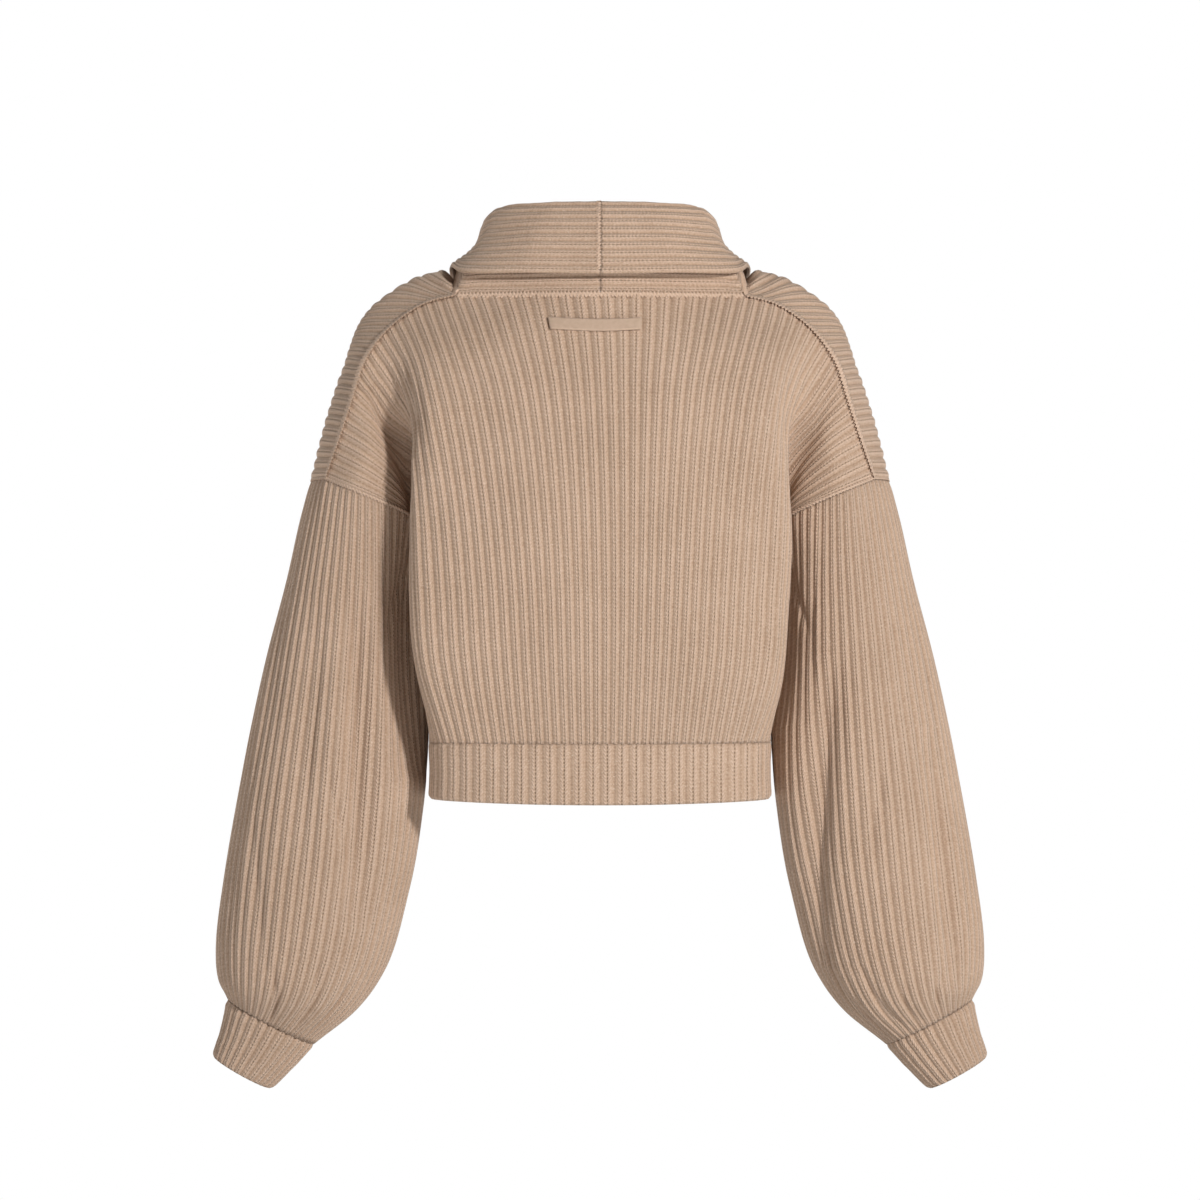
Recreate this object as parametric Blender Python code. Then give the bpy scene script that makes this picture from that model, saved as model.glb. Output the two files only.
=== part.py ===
"""Cropped ribbed cardigan with a shawl collar, filled out as when worn, with no wearer in it.

Frame: origin at the middle of the neck opening, at the height of the back neck seam less 5 mm.
+Z is up, the back of the garment faces +Y and the open front faces -Y, so +X is the wearer's left.

Every panel is a knitted wall: a smooth outer sheet, raised along each rib, over a plain inner sheet.
A sheet is a function of two parameters, u counted in ribs across the panel and v from 0 at the
panel's top edge to 1 at its bottom edge. The tables below give, in centimetres, where a few named
ribs lie at a few heights, and a smooth curve runs through them both ways.
"""
import bpy
import numpy as np

CM = 0.01

# ---- driving sizes, in centimetres ----
WALL = 0.24                 # knit, between the grooves and the inside
RIB_RAISE = 0.17            # how far a rib stands over its grooves
SEAM_GAP = 0.03             # between pieces that are linked together
EDGE_RIB = 33.0             # ribs from the centre back to the armhole and side seam
NECK_RIB = 10.5             # ribs from the centre back to the neck corner
FRONT_RIB = 4.0             # the rib beside the front opening
WANDER = 1.2                # ribs by which the back's ribs drift to one side on their way down
NECK_Z = -0.5               # seam between the back and the collar
HEM_Z = -37.6               # seam between the body and the waistband
BAND_Z = -42.3              # lower edge of the waistband
BAND_RIBS = 72
FRONT_OPENING = 0.6         # between the two ends of the waistband
SLEEVE_RIBS = 50
SLEEVE_TWIST = 24.0         # degrees by which the sleeve's ribs turn on their way to the cuff
CUFF_RIBS = 28
COLLAR_RIBS = 21            # across the collar, from its seam over the fold to its free edge
FOLD_RADIUS = 0.38          # of the collar's fold
STAND_HOLLOW = 0.15         # how far the stand bows toward the fall at its middle
FALL_BULGE = 0.45           # how far the fall bows out at its middle
LOOP_RIBS = (-2.9, 4.0)     # the ribs that the sewn strip on the back covers
LOOP_HEIGHTS = (0.065, 0.092)
LOOP_THICK = 0.12

# ---- back panel: a row for each height, a column for each named rib ----
BACK_RIBS = (0.0, 10.5, 17.0, 19.5, 21.5, 25.5, 33.0)
#             centre  neck  blade  fold  inside valley  edge
BACK_ROWS = (0.0, 0.104, 0.193, 0.303, 0.459, 0.636, 0.813, 1.0)
BACK_X = (
    (0.0, 11.95, 17.20, 18.55, 19.60, 20.70, 22.90),
    (0.0, 10.75, 15.55, 16.65, 17.40, 18.25, 20.45),
    (0.0, 9.80, 14.70, 15.65, 15.70, 16.25, 18.10),
    (0.0, 9.10, 14.20, 15.55, 15.50, 15.05, 15.70),
    (0.0, 8.45, 13.65, 15.40, 15.70, 14.85, 13.80),
    (0.0, 7.95, 13.20, 15.15, 15.65, 14.65, 13.30),
    (0.0, 7.60, 12.80, 14.70, 15.20, 14.35, 13.20),
    (0.0, 6.95, 11.45, 12.95, 13.75, 14.20, 14.10),
)
BACK_Y = (
    (7.5, 5.2, 4.8, 4.7, 4.6, 4.4, 3.0),
    (8.8, 7.9, 7.1, 5.7, 5.0, 5.1, 4.9),
    (9.8, 9.2, 8.3, 6.6, 4.9, 3.9, 4.85),
    (10.6, 10.1, 9.1, 7.7, 5.9, 3.0, 3.2),
    (11.1, 10.7, 9.5, 8.6, 6.8, 4.4, -1.5),
    (11.1, 10.8, 9.7, 8.9, 7.2, 3.9, -2.4),
    (10.7, 10.5, 9.5, 8.7, 7.1, 3.8, -2.2),
    (10.0, 9.5, 8.3, 7.4, 6.3, 3.7, -1.5),
)
BACK_Z = (
    (-0.5, -0.5, -2.9, -4.55, -5.9, -9.2, -15.6),
    (-4.4, -4.4, -6.55, -7.95, -9.4, -11.4, -16.6),
    (-7.75, -7.8, -9.75, -10.85, -12.05, -13.7, -17.6),
    (-11.9, -11.9, -13.6, -14.5, -15.35, -16.65, -18.95),
    (-17.65, -17.65, -18.95, -19.6, -20.3, -21.6, -21.6),
    (-24.15, -24.2, -24.9, -25.3, -25.7, -26.3, -26.8),
    (-30.65, -30.7, -31.1, -31.4, -31.6, -32.05, -32.4),
    (HEM_Z, HEM_Z, HEM_Z, HEM_Z, HEM_Z, HEM_Z, HEM_Z),
)

# ---- left front, the same way; the row at 0 comes from the neckline and the shoulder seam ----
FRONT_RIBS = (4.0, 6.5, 8.8, 10.5, 13.5, 17.0, 23.0, 27.0, 33.0)
#             edge lapel  vee  neck ridge chest  fold valley  side
FRONT_ROWS = (0.10, 0.22, 0.38, 0.56, 0.78, 1.0)
FRONT_X = (
    (3.40, 7.2, 10.1, 13.0, 15.6, 19.3, 21.8, 22.8, 24.15),
    (3.40, 7.2, 9.3, 11.6, 13.9, 17.9, 20.7, 21.8, 22.6),
    (3.35, 6.6, 8.6, 10.2, 12.0, 14.7, 16.9, 16.8, 17.6),
    (3.30, 5.9, 7.8, 9.1, 10.9, 13.0, 15.3, 14.8, 13.8),
    (3.15, 5.2, 6.8, 8.2, 10.0, 12.2, 14.6, 14.5, 13.3),
    (2.90, 4.4, 5.8, 6.9, 8.8, 10.9, 13.2, 14.1, 14.1),
)
FRONT_Y = (
    (-12.4, -10.9, -7.3, 1.6, 1.45, 1.2, 1.0, 0.9, 0.5),
    (-12.4, -11.5, -9.4, -4.4, -4.6, -4.0, -3.7, -4.0, -4.3),
    (-12.3, -11.9, -11.0, -9.0, -9.0, -8.6, -7.4, -5.7, -6.2),
    (-12.1, -12.1, -11.8, -11.2, -11.0, -10.5, -8.3, -5.2, -1.5),
    (-11.6, -11.7, -11.5, -11.6, -11.2, -10.6, -8.0, -5.5, -2.4),
    (-10.9, -10.8, -10.65, -10.5, -10.1, -9.3, -7.2, -4.7, -1.5),
)
FRONT_Z = (
    (-25.4, -13.2, -2.6, 2.2, 1.3, -1.4, -6.9, -10.3, -15.65),
    (-27.1, -16.6, -6.6, -0.2, -1.6, -4.7, -8.9, -12.1, -16.4),
    (-29.3, -21.0, -13.3, -6.6, -7.6, -9.9, -13.0, -15.9, -18.3),
    (-31.8, -26.0, -20.7, -15.6, -16.5, -18.4, -21.1, -21.9, -21.6),
    (-34.9, -32.0, -29.8, -26.8, -27.4, -27.8, -29.0, -29.4, -29.7),
    (HEM_Z, HEM_Z, HEM_Z, HEM_Z, HEM_Z, HEM_Z, HEM_Z, HEM_Z, HEM_Z),
)

# ---- seams that two pieces share: each row is (parameter, x, y, z) ----
SHOULDER_SEAM = (           # by rib, from the neck corner to the shoulder tip
    (10.5, 11.95, 5.20, -0.50),
    (13.5, 14.50, 4.95, -1.15),
    (17.0, 17.20, 4.80, -2.90),
    (21.5, 19.60, 4.60, -5.90),
    (25.5, 20.70, 4.40, -9.20),
    (29.5, 21.85, 3.90, -12.65),
    (33.0, 22.90, 3.00, -15.60),
)
NECKLINE = (                # by rib, from the foot of the vee up to the neck corner
    (4.0, 3.40, -12.40, -24.00),
    (5.3, 5.50, -11.85, -17.50),
    (6.5, 7.30, -10.70, -10.50),
    (7.7, 8.60, -8.60, -4.50),
    (8.8, 9.90, -4.20, 0.80),
    (9.8, 11.50, 1.40, 2.40),
    (10.5, 11.95, 5.20, -0.50),
)
BACK_ARMHOLE = (            # by v on the back panel, from the shoulder tip to the underarm
    (0.0, 22.90, 3.00, -15.60),
    (0.104, 20.45, 4.90, -16.60),
    (0.193, 18.10, 4.85, -17.60),
    (0.303, 15.70, 3.20, -18.80),
    (0.380, 14.60, 1.20, -19.90),
    (0.459, 13.80, -1.50, -21.60),
)
FRONT_ARMHOLE = (           # by v on the front panel, from the shoulder tip to the underarm
    (0.0, 22.90, 3.00, -15.60),
    (0.07, 24.15, 0.50, -15.65),
    (0.22, 22.60, -4.30, -16.40),
    (0.38, 17.50, -6.10, -18.30),
    (0.47, 15.20, -4.50, -19.70),
    (0.56, 13.80, -1.50, -21.60),
)
SIDE_SEAM = (               # by the share of the way from the underarm to the hem
    (0.0, 13.80, -1.50, -21.60),
    (0.33, 13.30, -2.40, -26.80),
    (0.66, 13.20, -2.20, -32.40),
    (1.0, 14.10, -1.50, HEM_Z),
)
BACK_UNDERARM = 0.459
FRONT_UNDERARM = 0.56

# ---- left sleeve: a ring for each row, in the plane of its outer and inner points ----
#      share  outer x, z     inner x, z    back y  front y
SLEEVE_RINGS = (
    (0.08, 25.3, -19.3, 14.8, -24.6, 5.0, -7.4),
    (0.20, 26.4, -24.2, 14.9, -29.0, 5.2, -7.8),
    (0.36, 28.1, -31.4, 14.9, -35.0, 5.6, -7.6),
    (0.55, 30.2, -41.2, 15.1, -43.0, 6.0, -7.2),
    (0.72, 31.6, -49.4, 16.1, -50.0, 6.2, -7.0),
    (0.85, 32.2, -55.0, 18.3, -57.0, 6.0, -6.6),
    (0.93, 32.0, -57.7, 20.6, -60.3, 5.0, -5.6),
    (1.00, 31.3, -59.3, 24.0, -63.1, 3.2, -3.8),
)
CUFF_RINGS = (
    (0.0, 31.3, -59.3, 24.0, -63.1, 3.2, -3.8),
    (0.5, 31.8, -61.6, 25.7, -65.0, 2.7, -3.3),
    (1.0, 32.6, -64.1, 27.6, -66.9, 2.3, -2.9),
)
# Angle round the sleeve (180 underarm, 90 back, 0 outside, -90 front) where the armhole passes a v.
BACK_ARMHOLE_ANGLE = ((0.0, 46.8), (0.104, 82.0), (0.193, 112.0), (0.303, 140.0), (0.459, 180.0))
FRONT_ARMHOLE_ANGLE = ((0.0, 46.8), (0.07, 14.0), (0.22, -40.0), (0.38, -105.0), (0.56, -180.0))

# ---- the sleeves' long folds: share and angle at the top and at the foot, depth, half-width ----
SLEEVE_FOLDS = {
    "left": ((0.10, 86.0, 0.76, 124.0, 0.95, 15.0), (0.15, -88.0, 0.70, -118.0, 0.80, 16.0)),
    "right": (
        (0.30, 100.0, 0.82, 152.0, 0.85, 15.0),
        (0.45, 42.0, 0.93, 56.0, 0.55, 11.0),
        (0.12, -84.0, 0.68, -114.0, 0.80, 16.0),
    ),
}

# ---- collar: a row for each station, from the centre back round to the foot of the front ----
#      station  top of the fold      free edge
COLLAR_STATIONS = (
    (0.0, (0.0, 6.7, 7.0), (0.0, 8.9, 1.6)),
    (1.0, (4.7, 6.1, 6.95), (6.3, 8.2, 1.6)),
    (2.0, (8.1, 3.9, 6.8), (11.7, 6.0, 2.0)),
    (3.0, (8.8, 0.6, 6.0), (13.2, 1.7, 3.4)),
    (4.0, (7.8, -4.4, 3.4), (13.2, -5.0, 1.2)),
    (5.0, (6.6, -8.6, -1.6), (12.6, -8.9, -3.9)),
    (6.0, (4.9, -11.3, -8.4), (11.6, -11.2, -11.4)),
    (7.0, (2.8, -12.9, -16.2), (9.6, -12.8, -18.6)),
    (8.0, (0.9, -13.4, -23.4), (7.2, -13.4, -25.6)),
    (9.0, (0.6, -11.9, -37.1), (5.4, -11.9, -37.2)),
)
COLLAR_SEAM_RIBS = ((2.0, 10.5), (3.0, 9.8), (4.0, 8.8), (5.0, 7.7), (6.0, 6.5), (7.0, 5.3), (8.0, 4.0))

# ---- where the walls are divided; on the armholes, at whole half-ribs of the sleeve ----
BACK_ARMHOLE_HALF_RIBS = (37, 30, 23, 16, 10, 5, 0)
FRONT_ARMHOLE_HALF_RIBS = (37, 48, 59, 69, 78, 86, 93, 100)
SLEEVE_INNER_COLUMNS = (
    0, 5, 10, 13, 16, 18, 20, 23, 27, 30, 34, 37, 41, 45, 48, 52, 56, 59, 63, 66, 69, 73, 78, 82, 86, 90, 93, 97,
)
SIDE_DIVISIONS = (0.33, 0.66, 1.0)
SLEEVE_DIVISIONS = (0.0, 0.08, 0.20, 0.36, 0.54, 0.72, 0.85, 0.93, 1.0)
CUFF_DIVISIONS = (0.0, 0.5, 1.0)
COLLAR_BACK_STATIONS = (0.0, 0.7, 1.4)
COLLAR_FRONT_RIBS = (10.5, 10.0, 9.5, 9.0, 8.5, 7.5, 6.5, 5.5, 4.0)
COLLAR_FOOT_HEIGHTS = (0.0, 0.5, 1.0)

COLOURS = {
    "back": (0.515, 0.355, 0.245),
    "front": (0.500, 0.345, 0.238),
    "sleeve": (0.505, 0.348, 0.240),
    "collar": (0.530, 0.368, 0.256),
    "waistband": (0.520, 0.360, 0.250),
    "cuff": (0.510, 0.352, 0.243),
    "strip": (0.540, 0.380, 0.268),
}
KNIT_ROUGHNESS = 0.95


# ---- curves and tables ----
def spline(knots, values, at):
    """Cubic pieces through values at knots; a knot's slope is that of the parabola through its neighbours."""
    knots = np.asarray(knots, float)
    values = np.asarray(values, float)
    at = np.clip(np.asarray(at, float), knots[0], knots[-1])
    step = np.diff(knots)[:, None]
    slope = np.diff(values, axis=0) / step
    inner = (slope[:-1] * step[1:] + slope[1:] * step[:-1]) / (step[1:] + step[:-1])
    slopes = np.concatenate([slope[:1], inner, slope[-1:]])
    piece = np.clip(np.searchsorted(knots, at, side="right") - 1, 0, len(step) - 1)
    h = step[piece]
    t = (at - knots[piece])[:, None] / h
    start = (2 * t**3 - 3 * t**2 + 1) * values[piece] + (t**3 - 2 * t**2 + t) * h * slopes[piece]
    end = (3 * t**2 - 2 * t**3) * values[piece + 1] + (t**3 - t**2) * h * slopes[piece + 1]
    return start + end


def curve(rows, at):
    """Points of a seam table (parameter, x, y, z) at the parameters given, any array shape."""
    rows = np.asarray(rows, float)
    at = np.asarray(at, float)
    return spline(rows[:, 0], rows[:, 1:], at.ravel()).reshape(at.shape + (3,))


def sheet(ribs, rows, table, u, v):
    """A table's smooth surface: the row splines weigh the heights and the rib splines the columns."""
    across = spline(ribs, np.eye(len(ribs)), u.ravel())
    down = spline(rows, np.eye(len(rows)), v.ravel())
    points = np.einsum("nk,nm,mkc->nc", across, down, table)
    return points.reshape(u.shape + (3,))


def fade(distance, reach):
    """1 at distance 0, falling smoothly to 0 at reach."""
    return np.clip(1 - distance / reach, 0, 1) ** 2


def unit(vectors):
    return vectors / np.linalg.norm(vectors, axis=-1, keepdims=True)


def mirrored(points):
    return points * (-1.0, 1.0, 1.0)


# ---- seams ----
def side_seam(v, underarm):
    return curve(SIDE_SEAM, np.clip((v - underarm) / (1 - underarm), 0, 1))


def back_edge(v):
    """The back's side edge: the armhole down to the underarm, then the side seam."""
    v = np.asarray(v, float)
    armhole = curve(BACK_ARMHOLE, np.minimum(v, BACK_UNDERARM))
    return np.where((v < BACK_UNDERARM)[..., None], armhole, side_seam(v, BACK_UNDERARM))


def front_edge(v):
    v = np.asarray(v, float)
    armhole = curve(FRONT_ARMHOLE, np.minimum(v, FRONT_UNDERARM))
    return np.where((v < FRONT_UNDERARM)[..., None], armhole, side_seam(v, FRONT_UNDERARM))


def straight_between(knots, values, at):
    """Straight lines between the rows of values, as edges run that two walls share."""
    return np.stack([np.interp(at, knots, values[:, axis]) for axis in range(3)], axis=-1)


def front_top(u):
    """The front's top edge by rib: the neckline up to the neck corner, then the shoulder seam."""
    u = np.asarray(u, float)
    ribs = np.array(COLLAR_FRONT_RIBS)[::-1]
    neckline = straight_between(ribs, curve(NECKLINE, ribs), u)
    return np.where((u < NECK_RIB)[..., None], neckline, curve(SHOULDER_SEAM, np.maximum(u, NECK_RIB)))


# ---- panels ----
def back_table():
    """The back's table with the other half added: x turns over, y and z are the same."""
    half = np.stack([BACK_X, BACK_Y, BACK_Z], axis=-1)
    ribs = np.array(BACK_RIBS)
    other = mirrored(half[:, :0:-1])
    return np.concatenate([-ribs[:0:-1], ribs]), np.concatenate([other, half], axis=1)


BACK_ALL_RIBS, BACK_TABLE = back_table()
FRONT_ALL_ROWS = (0.0,) + FRONT_ROWS
FRONT_TABLE = np.concatenate([
    front_top(FRONT_RIBS)[None],
    np.stack([FRONT_X, FRONT_Y, FRONT_Z], axis=-1),
])


def back_form(u, v):
    """The even back: its table, drawn onto the armhole, side and shoulder seams near those edges."""
    points = sheet(BACK_ALL_RIBS, BACK_ROWS, BACK_TABLE, u, v)
    side = np.where(u < 0, -1.0, 1.0)[..., None] * (1, 0, 0) + (0, 1, 1)
    rib = np.abs(u)
    edge = sheet(BACK_ALL_RIBS, BACK_ROWS, BACK_TABLE, np.full_like(u, EDGE_RIB), v)
    points += fade(EDGE_RIB - rib, 7.5)[..., None] * (back_edge(v) - edge) * side
    top = sheet(BACK_ALL_RIBS, BACK_ROWS, BACK_TABLE, rib, np.zeros_like(v))
    seam = curve(SHOULDER_SEAM, np.maximum(rib, NECK_RIB))
    neck = np.stack([top[..., 0], top[..., 1], np.full_like(v, NECK_Z)], axis=-1)
    target = np.where((rib >= NECK_RIB)[..., None], seam, neck)
    return points + fade(v, 0.1)[..., None] * (target - top) * side


def back_sheet(u, v):
    """The back as it hangs: its ribs wander to one side, and stay put at the side edges."""
    drift = WANDER * (1 - fade(v, 0.8)) * (1 - (u / EDGE_RIB) ** 2) ** 2
    return back_form(u - drift, v)


def front_sheet(u, v):
    """The left front: its table, drawn onto its top edge and its side edge."""
    points = sheet(FRONT_RIBS, FRONT_ALL_ROWS, FRONT_TABLE, u, v)
    edge = sheet(FRONT_RIBS, FRONT_ALL_ROWS, FRONT_TABLE, np.full_like(u, EDGE_RIB), v)
    points = points + fade(EDGE_RIB - u, 6.0)[..., None] * (front_edge(v) - edge)
    top = sheet(FRONT_RIBS, FRONT_ALL_ROWS, FRONT_TABLE, u, np.zeros_like(v))
    return points + fade(v, 0.1)[..., None] * (front_top(u) - top)


def ring(row, angle):
    """An ellipse through a row's outer and inner points, with its own depth to the back and front."""
    outer = np.array([row[1], 0.0, row[2]])
    inner = np.array([row[3], 0.0, row[4]])
    middle_y = (row[5] + row[6]) / 2
    half_depth = (row[5] - row[6]) / 2
    turn = np.radians(angle)[..., None]
    middle = (outer + inner) / 2 + np.array([0.0, middle_y, 0.0])
    return middle + np.cos(turn) * (outer - inner) / 2 + np.sin(turn) * np.array([0.0, half_depth, 0.0])


def armhole_v(angle):
    """Where the armhole loop meets an angle: v on the back panel and v on the front panel."""
    back = np.array(BACK_ARMHOLE_ANGLE)
    front = np.array(FRONT_ARMHOLE_ANGLE)[::-1]
    return np.interp(angle, back[:, 1], back[:, 0]), np.interp(angle, front[:, 1], front[:, 0])


TIP_ANGLE = BACK_ARMHOLE_ANGLE[0][1]


def armhole(angle, back_points, front_points):
    """The armhole loop by angle, read from functions of v on the back and on the front."""
    on_back, on_front = armhole_v(angle)
    return np.where((angle > TIP_ANGLE)[..., None], back_points(on_back), front_points(on_front))


def turned(angle):
    """The same angle between -180 and 180 degrees."""
    return (np.asarray(angle, float) + 180.0) % 360.0 - 180.0


def sleeve_angle(rib, share):
    """A sleeve rib's angle: ribs are even round the ring, and turn slowly on their way down."""
    return turned(180.0 - 360.0 * rib / SLEEVE_RIBS + SLEEVE_TWIST * np.clip(share, 0, 1) ** 1.2 * (share > 0))


def sleeve_sheet(rib, share, folds=()):
    """The left sleeve: splines down through the armhole loop and the rings, pressed in along folds."""
    angle = sleeve_angle(rib, share)
    shares = (0.0,) + tuple(row[0] for row in SLEEVE_RINGS)
    rings = [armhole(angle, back_edge, front_edge)] + [ring(row, angle) for row in SLEEVE_RINGS]
    down = spline(shares, np.eye(len(shares)), share.ravel()).reshape(share.shape + (-1,))
    points = np.einsum("...k,k...c->...c", down, np.array(rings))
    middle = np.einsum("...k,kc->...c", down, sleeve_middles())
    for top, top_angle, foot, foot_angle, depth, width in folds:
        along = np.clip((share - top) / (foot - top), 0, 1)
        off = turned(angle - (top_angle + (foot_angle - top_angle) * along)) / width
        press = depth * np.sin(np.pi * along) ** 0.7 * np.exp(-off**2)
        points = points - press[..., None] * unit(points - middle)
    return points


def sleeve_middles():
    """The middle of the armhole loop and of each ring."""
    loop = armhole(np.linspace(-179.0, 180.0, 73), back_edge, front_edge).mean(axis=0)
    rows = np.array(SLEEVE_RINGS)
    rings = np.stack([rows[:, 1] + rows[:, 3], rows[:, 5] + rows[:, 6], rows[:, 2] + rows[:, 4]], axis=-1) / 2
    return np.concatenate([loop[None], rings])


def cuff_sheet(rib, share):
    """The left cuff: splines down through its rings."""
    angle = turned(180.0 - 360.0 * rib / CUFF_RIBS)
    shares = [row[0] for row in CUFF_RINGS]
    down = spline(shares, np.eye(len(shares)), share.ravel()).reshape(share.shape + (-1,))
    return np.einsum("...k,k...c->...c", down, np.array([ring(row, angle) for row in CUFF_RINGS]))


def hem_ring(count):
    """The hem's outer line with ribs evenly apart, from one end of the waistband round to the other."""
    low = np.ones(41)
    back = back_form(np.linspace(0, EDGE_RIB, 41), low)
    front = front_sheet(np.linspace(EDGE_RIB, FRONT_RIB, 41), low)
    end = np.array([[FRONT_OPENING / 2, front[-1, 1] - 0.1, HEM_Z]])
    half = np.concatenate([back, front[1:], end])
    line = np.concatenate([half[::-1], mirrored(half[1:])])
    along = np.concatenate([[0], np.cumsum(np.linalg.norm(np.diff(line, axis=0), axis=1))])
    at = np.linspace(0, along[-1], count)
    return np.stack([np.interp(at, along, line[:, axis]) for axis in range(3)], axis=-1)


# ---- which way is out ----
def facing(points, closed=False, sense=1):
    """Unit directions out of a grid of points: the mean of the faces that meet at each point."""
    if closed:
        points = np.concatenate([points[-1:], points, points[:1]])
    one = points[1:, 1:] - points[:-1, :-1]
    other = points[:-1, 1:] - points[1:, :-1]
    face = np.pad(unit(np.cross(one, other)) * sense, ((1, 1), (1, 1), (0, 0)))
    mean = unit(face[:-1, :-1] + face[1:, :-1] + face[:-1, 1:] + face[1:, 1:])
    return mean[1:-1] if closed else mean


def level(vectors):
    """The same directions laid level, for edges that end in a level plane."""
    return unit(vectors * (1.0, 1.0, 0.0))


def armhole_divisions(half_ribs, angles, underarm):
    """Heights at which a panel is divided: at the sleeve's half-ribs, then evenly down the side."""
    table = np.array(angles)
    table = table[np.argsort(table[:, 1])]
    upper = np.interp(180.0 - 180.0 * np.array(half_ribs) / SLEEVE_RIBS, table[:, 1], table[:, 0])
    return np.concatenate([upper, underarm + (1 - underarm) * np.array(SIDE_DIVISIONS)])


def panel_grid(ribs, divisions):
    return np.meshgrid(np.asarray(ribs, float), np.asarray(divisions, float), indexing="ij")


BACK_DIVISIONS = armhole_divisions(BACK_ARMHOLE_HALF_RIBS, BACK_ARMHOLE_ANGLE, BACK_UNDERARM)
FRONT_DIVISIONS = armhole_divisions(FRONT_ARMHOLE_HALF_RIBS, FRONT_ARMHOLE_ANGLE, FRONT_UNDERARM)
BACK_U, BACK_V = panel_grid(np.arange(-2 * EDGE_RIB, 2 * EDGE_RIB + 1) / 2, BACK_DIVISIONS)
FRONT_U, FRONT_V = panel_grid(np.arange(2 * FRONT_RIB, 2 * EDGE_RIB + 1) / 2, FRONT_DIVISIONS)
SLEEVE_R, SLEEVE_S = panel_grid(np.arange(2 * SLEEVE_RIBS) / 2, SLEEVE_DIVISIONS)
NECK_CORNER_COLUMN = int(2 * (NECK_RIB - FRONT_RIB))
COLLAR_COLUMNS = [int(round(2 * (rib - FRONT_RIB))) for rib in COLLAR_FRONT_RIBS]


def front_points():
    """The left front's grid, with its opening edge straight between the collar's stations."""
    points = front_sheet(FRONT_U, FRONT_V)
    heights = np.array(COLLAR_FOOT_HEIGHTS)
    edge = front_sheet(np.full_like(heights, FRONT_RIB), heights)
    points[0] = straight_between(heights, edge, FRONT_DIVISIONS)
    return points


def on_armhole(back_values, front_values):
    """Values at the sleeve's first ring, straight between the panels' own divisions."""
    angle = turned(180.0 - 360.0 * SLEEVE_R[:, 0] / SLEEVE_RIBS)
    angle[0] = 180.0
    return armhole(
        angle,
        lambda v: straight_between(BACK_DIVISIONS, back_values, v),
        lambda v: straight_between(FRONT_DIVISIONS, front_values, v),
    )


def sleeve_points(folds):
    points = sleeve_sheet(SLEEVE_R, SLEEVE_S, folds)
    points[:, 0] = on_armhole(back_edge(BACK_DIVISIONS), front_edge(FRONT_DIVISIONS))
    return points


def mitred(own, other):
    """The direction that two walls share at a seam, and how far they meet end to end there.

    It lies halfway between their own. Where they are folded face to face, as under the arm, it
    points down, out of the fold.
    """
    share = np.clip(1 + np.sum(own * other, axis=-1), 0, 1)[..., None]
    return unit(own + other + 2 * (1 - share) * (0.0, 0.0, -1.0)), share


class Directions:
    """Outward directions of the back, the left front and the left sleeve, shared along their seams."""

    def __init__(self):
        self.back = facing(back_sheet(BACK_U, BACK_V))
        self.front = facing(front_points(), sense=-1)
        sleeve = facing(sleeve_points(()), closed=True)
        corner = len(BACK_U) // 2 + int(2 * NECK_RIB)
        shoulder = unit(self.back[corner:, 0] + self.front[NECK_CORNER_COLUMN:, 0])
        shoulder[0] = level(shoulder[0])
        under_back, under_front = len(BACK_ARMHOLE_HALF_RIBS) - 1, len(FRONT_ARMHOLE_HALF_RIBS) - 1
        side = unit(self.back[-1, under_back:] + self.front[-1, under_front:])
        side[-1] = level(side[-1])
        half = len(BACK_U) // 2
        self.back[half:corner, 0] = level(self.back[half:corner, 0])
        self.back[half:, -1] = level(self.back[half:, -1])
        self.front[:, -1] = level(self.front[:, -1])
        self.back[corner:, 0] = shoulder
        self.front[NECK_CORNER_COLUMN:, 0] = shoulder
        self.back[-1, under_back:] = side
        self.front[-1, under_front:] = side
        ribs = np.array(COLLAR_FRONT_RIBS)[::-1]
        neck = straight_between(ribs, self.front[COLLAR_COLUMNS[::-1], 0], FRONT_U[:, 0])
        self.front[:NECK_CORNER_COLUMN, 0] = neck[:NECK_CORNER_COLUMN]
        heights = np.array(COLLAR_FOOT_HEIGHTS)
        middle = straight_between(FRONT_DIVISIONS, self.front[0], heights)
        self.front[0] = straight_between(heights, middle, FRONT_DIVISIONS)
        self.share_armhole(sleeve)
        self.back[:half] = mirrored(self.back[:half:-1])

    def share_armhole(self, sleeve):
        """Mitres the panels and the sleeve where they meet at the armhole."""
        first = sleeve[:, 0]
        starts, shares = [], []
        for panel, half_ribs in ((self.back, BACK_ARMHOLE_HALF_RIBS), (self.front, FRONT_ARMHOLE_HALF_RIBS)):
            beyond = first[np.array(half_ribs) % len(first)]
            own = panel[-1, :len(half_ribs)].copy()
            panel[-1, :len(half_ribs)], share = mitred(own, beyond)
            start = mitred(beyond, own)[0]
            below = len(SIDE_DIVISIONS)
            starts.append(np.concatenate([start, np.repeat(start[-1:], below, axis=0)]))
            shares.append(np.concatenate([share, np.repeat(share[-1:], below, axis=0)]) * np.ones(3))
        self.back_meets, self.front_meets = (
            np.concatenate([share[:-len(SIDE_DIVISIONS), 0], np.ones(len(SIDE_DIVISIONS))]) for share in shares
        )
        self.sleeve_start = unit(on_armhole(*starts))
        self.sleeve_share = on_armhole(*shares)[:, :1]


# ---- from sheets to walls ----
def raise_ribs(ribs):
    """How far the outer sheet is raised: 0 in the grooves, at whole ribs, and full on top of a rib."""
    return RIB_RAISE * (1 - np.abs(2 * (ribs % 1.0) - 1))


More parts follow.
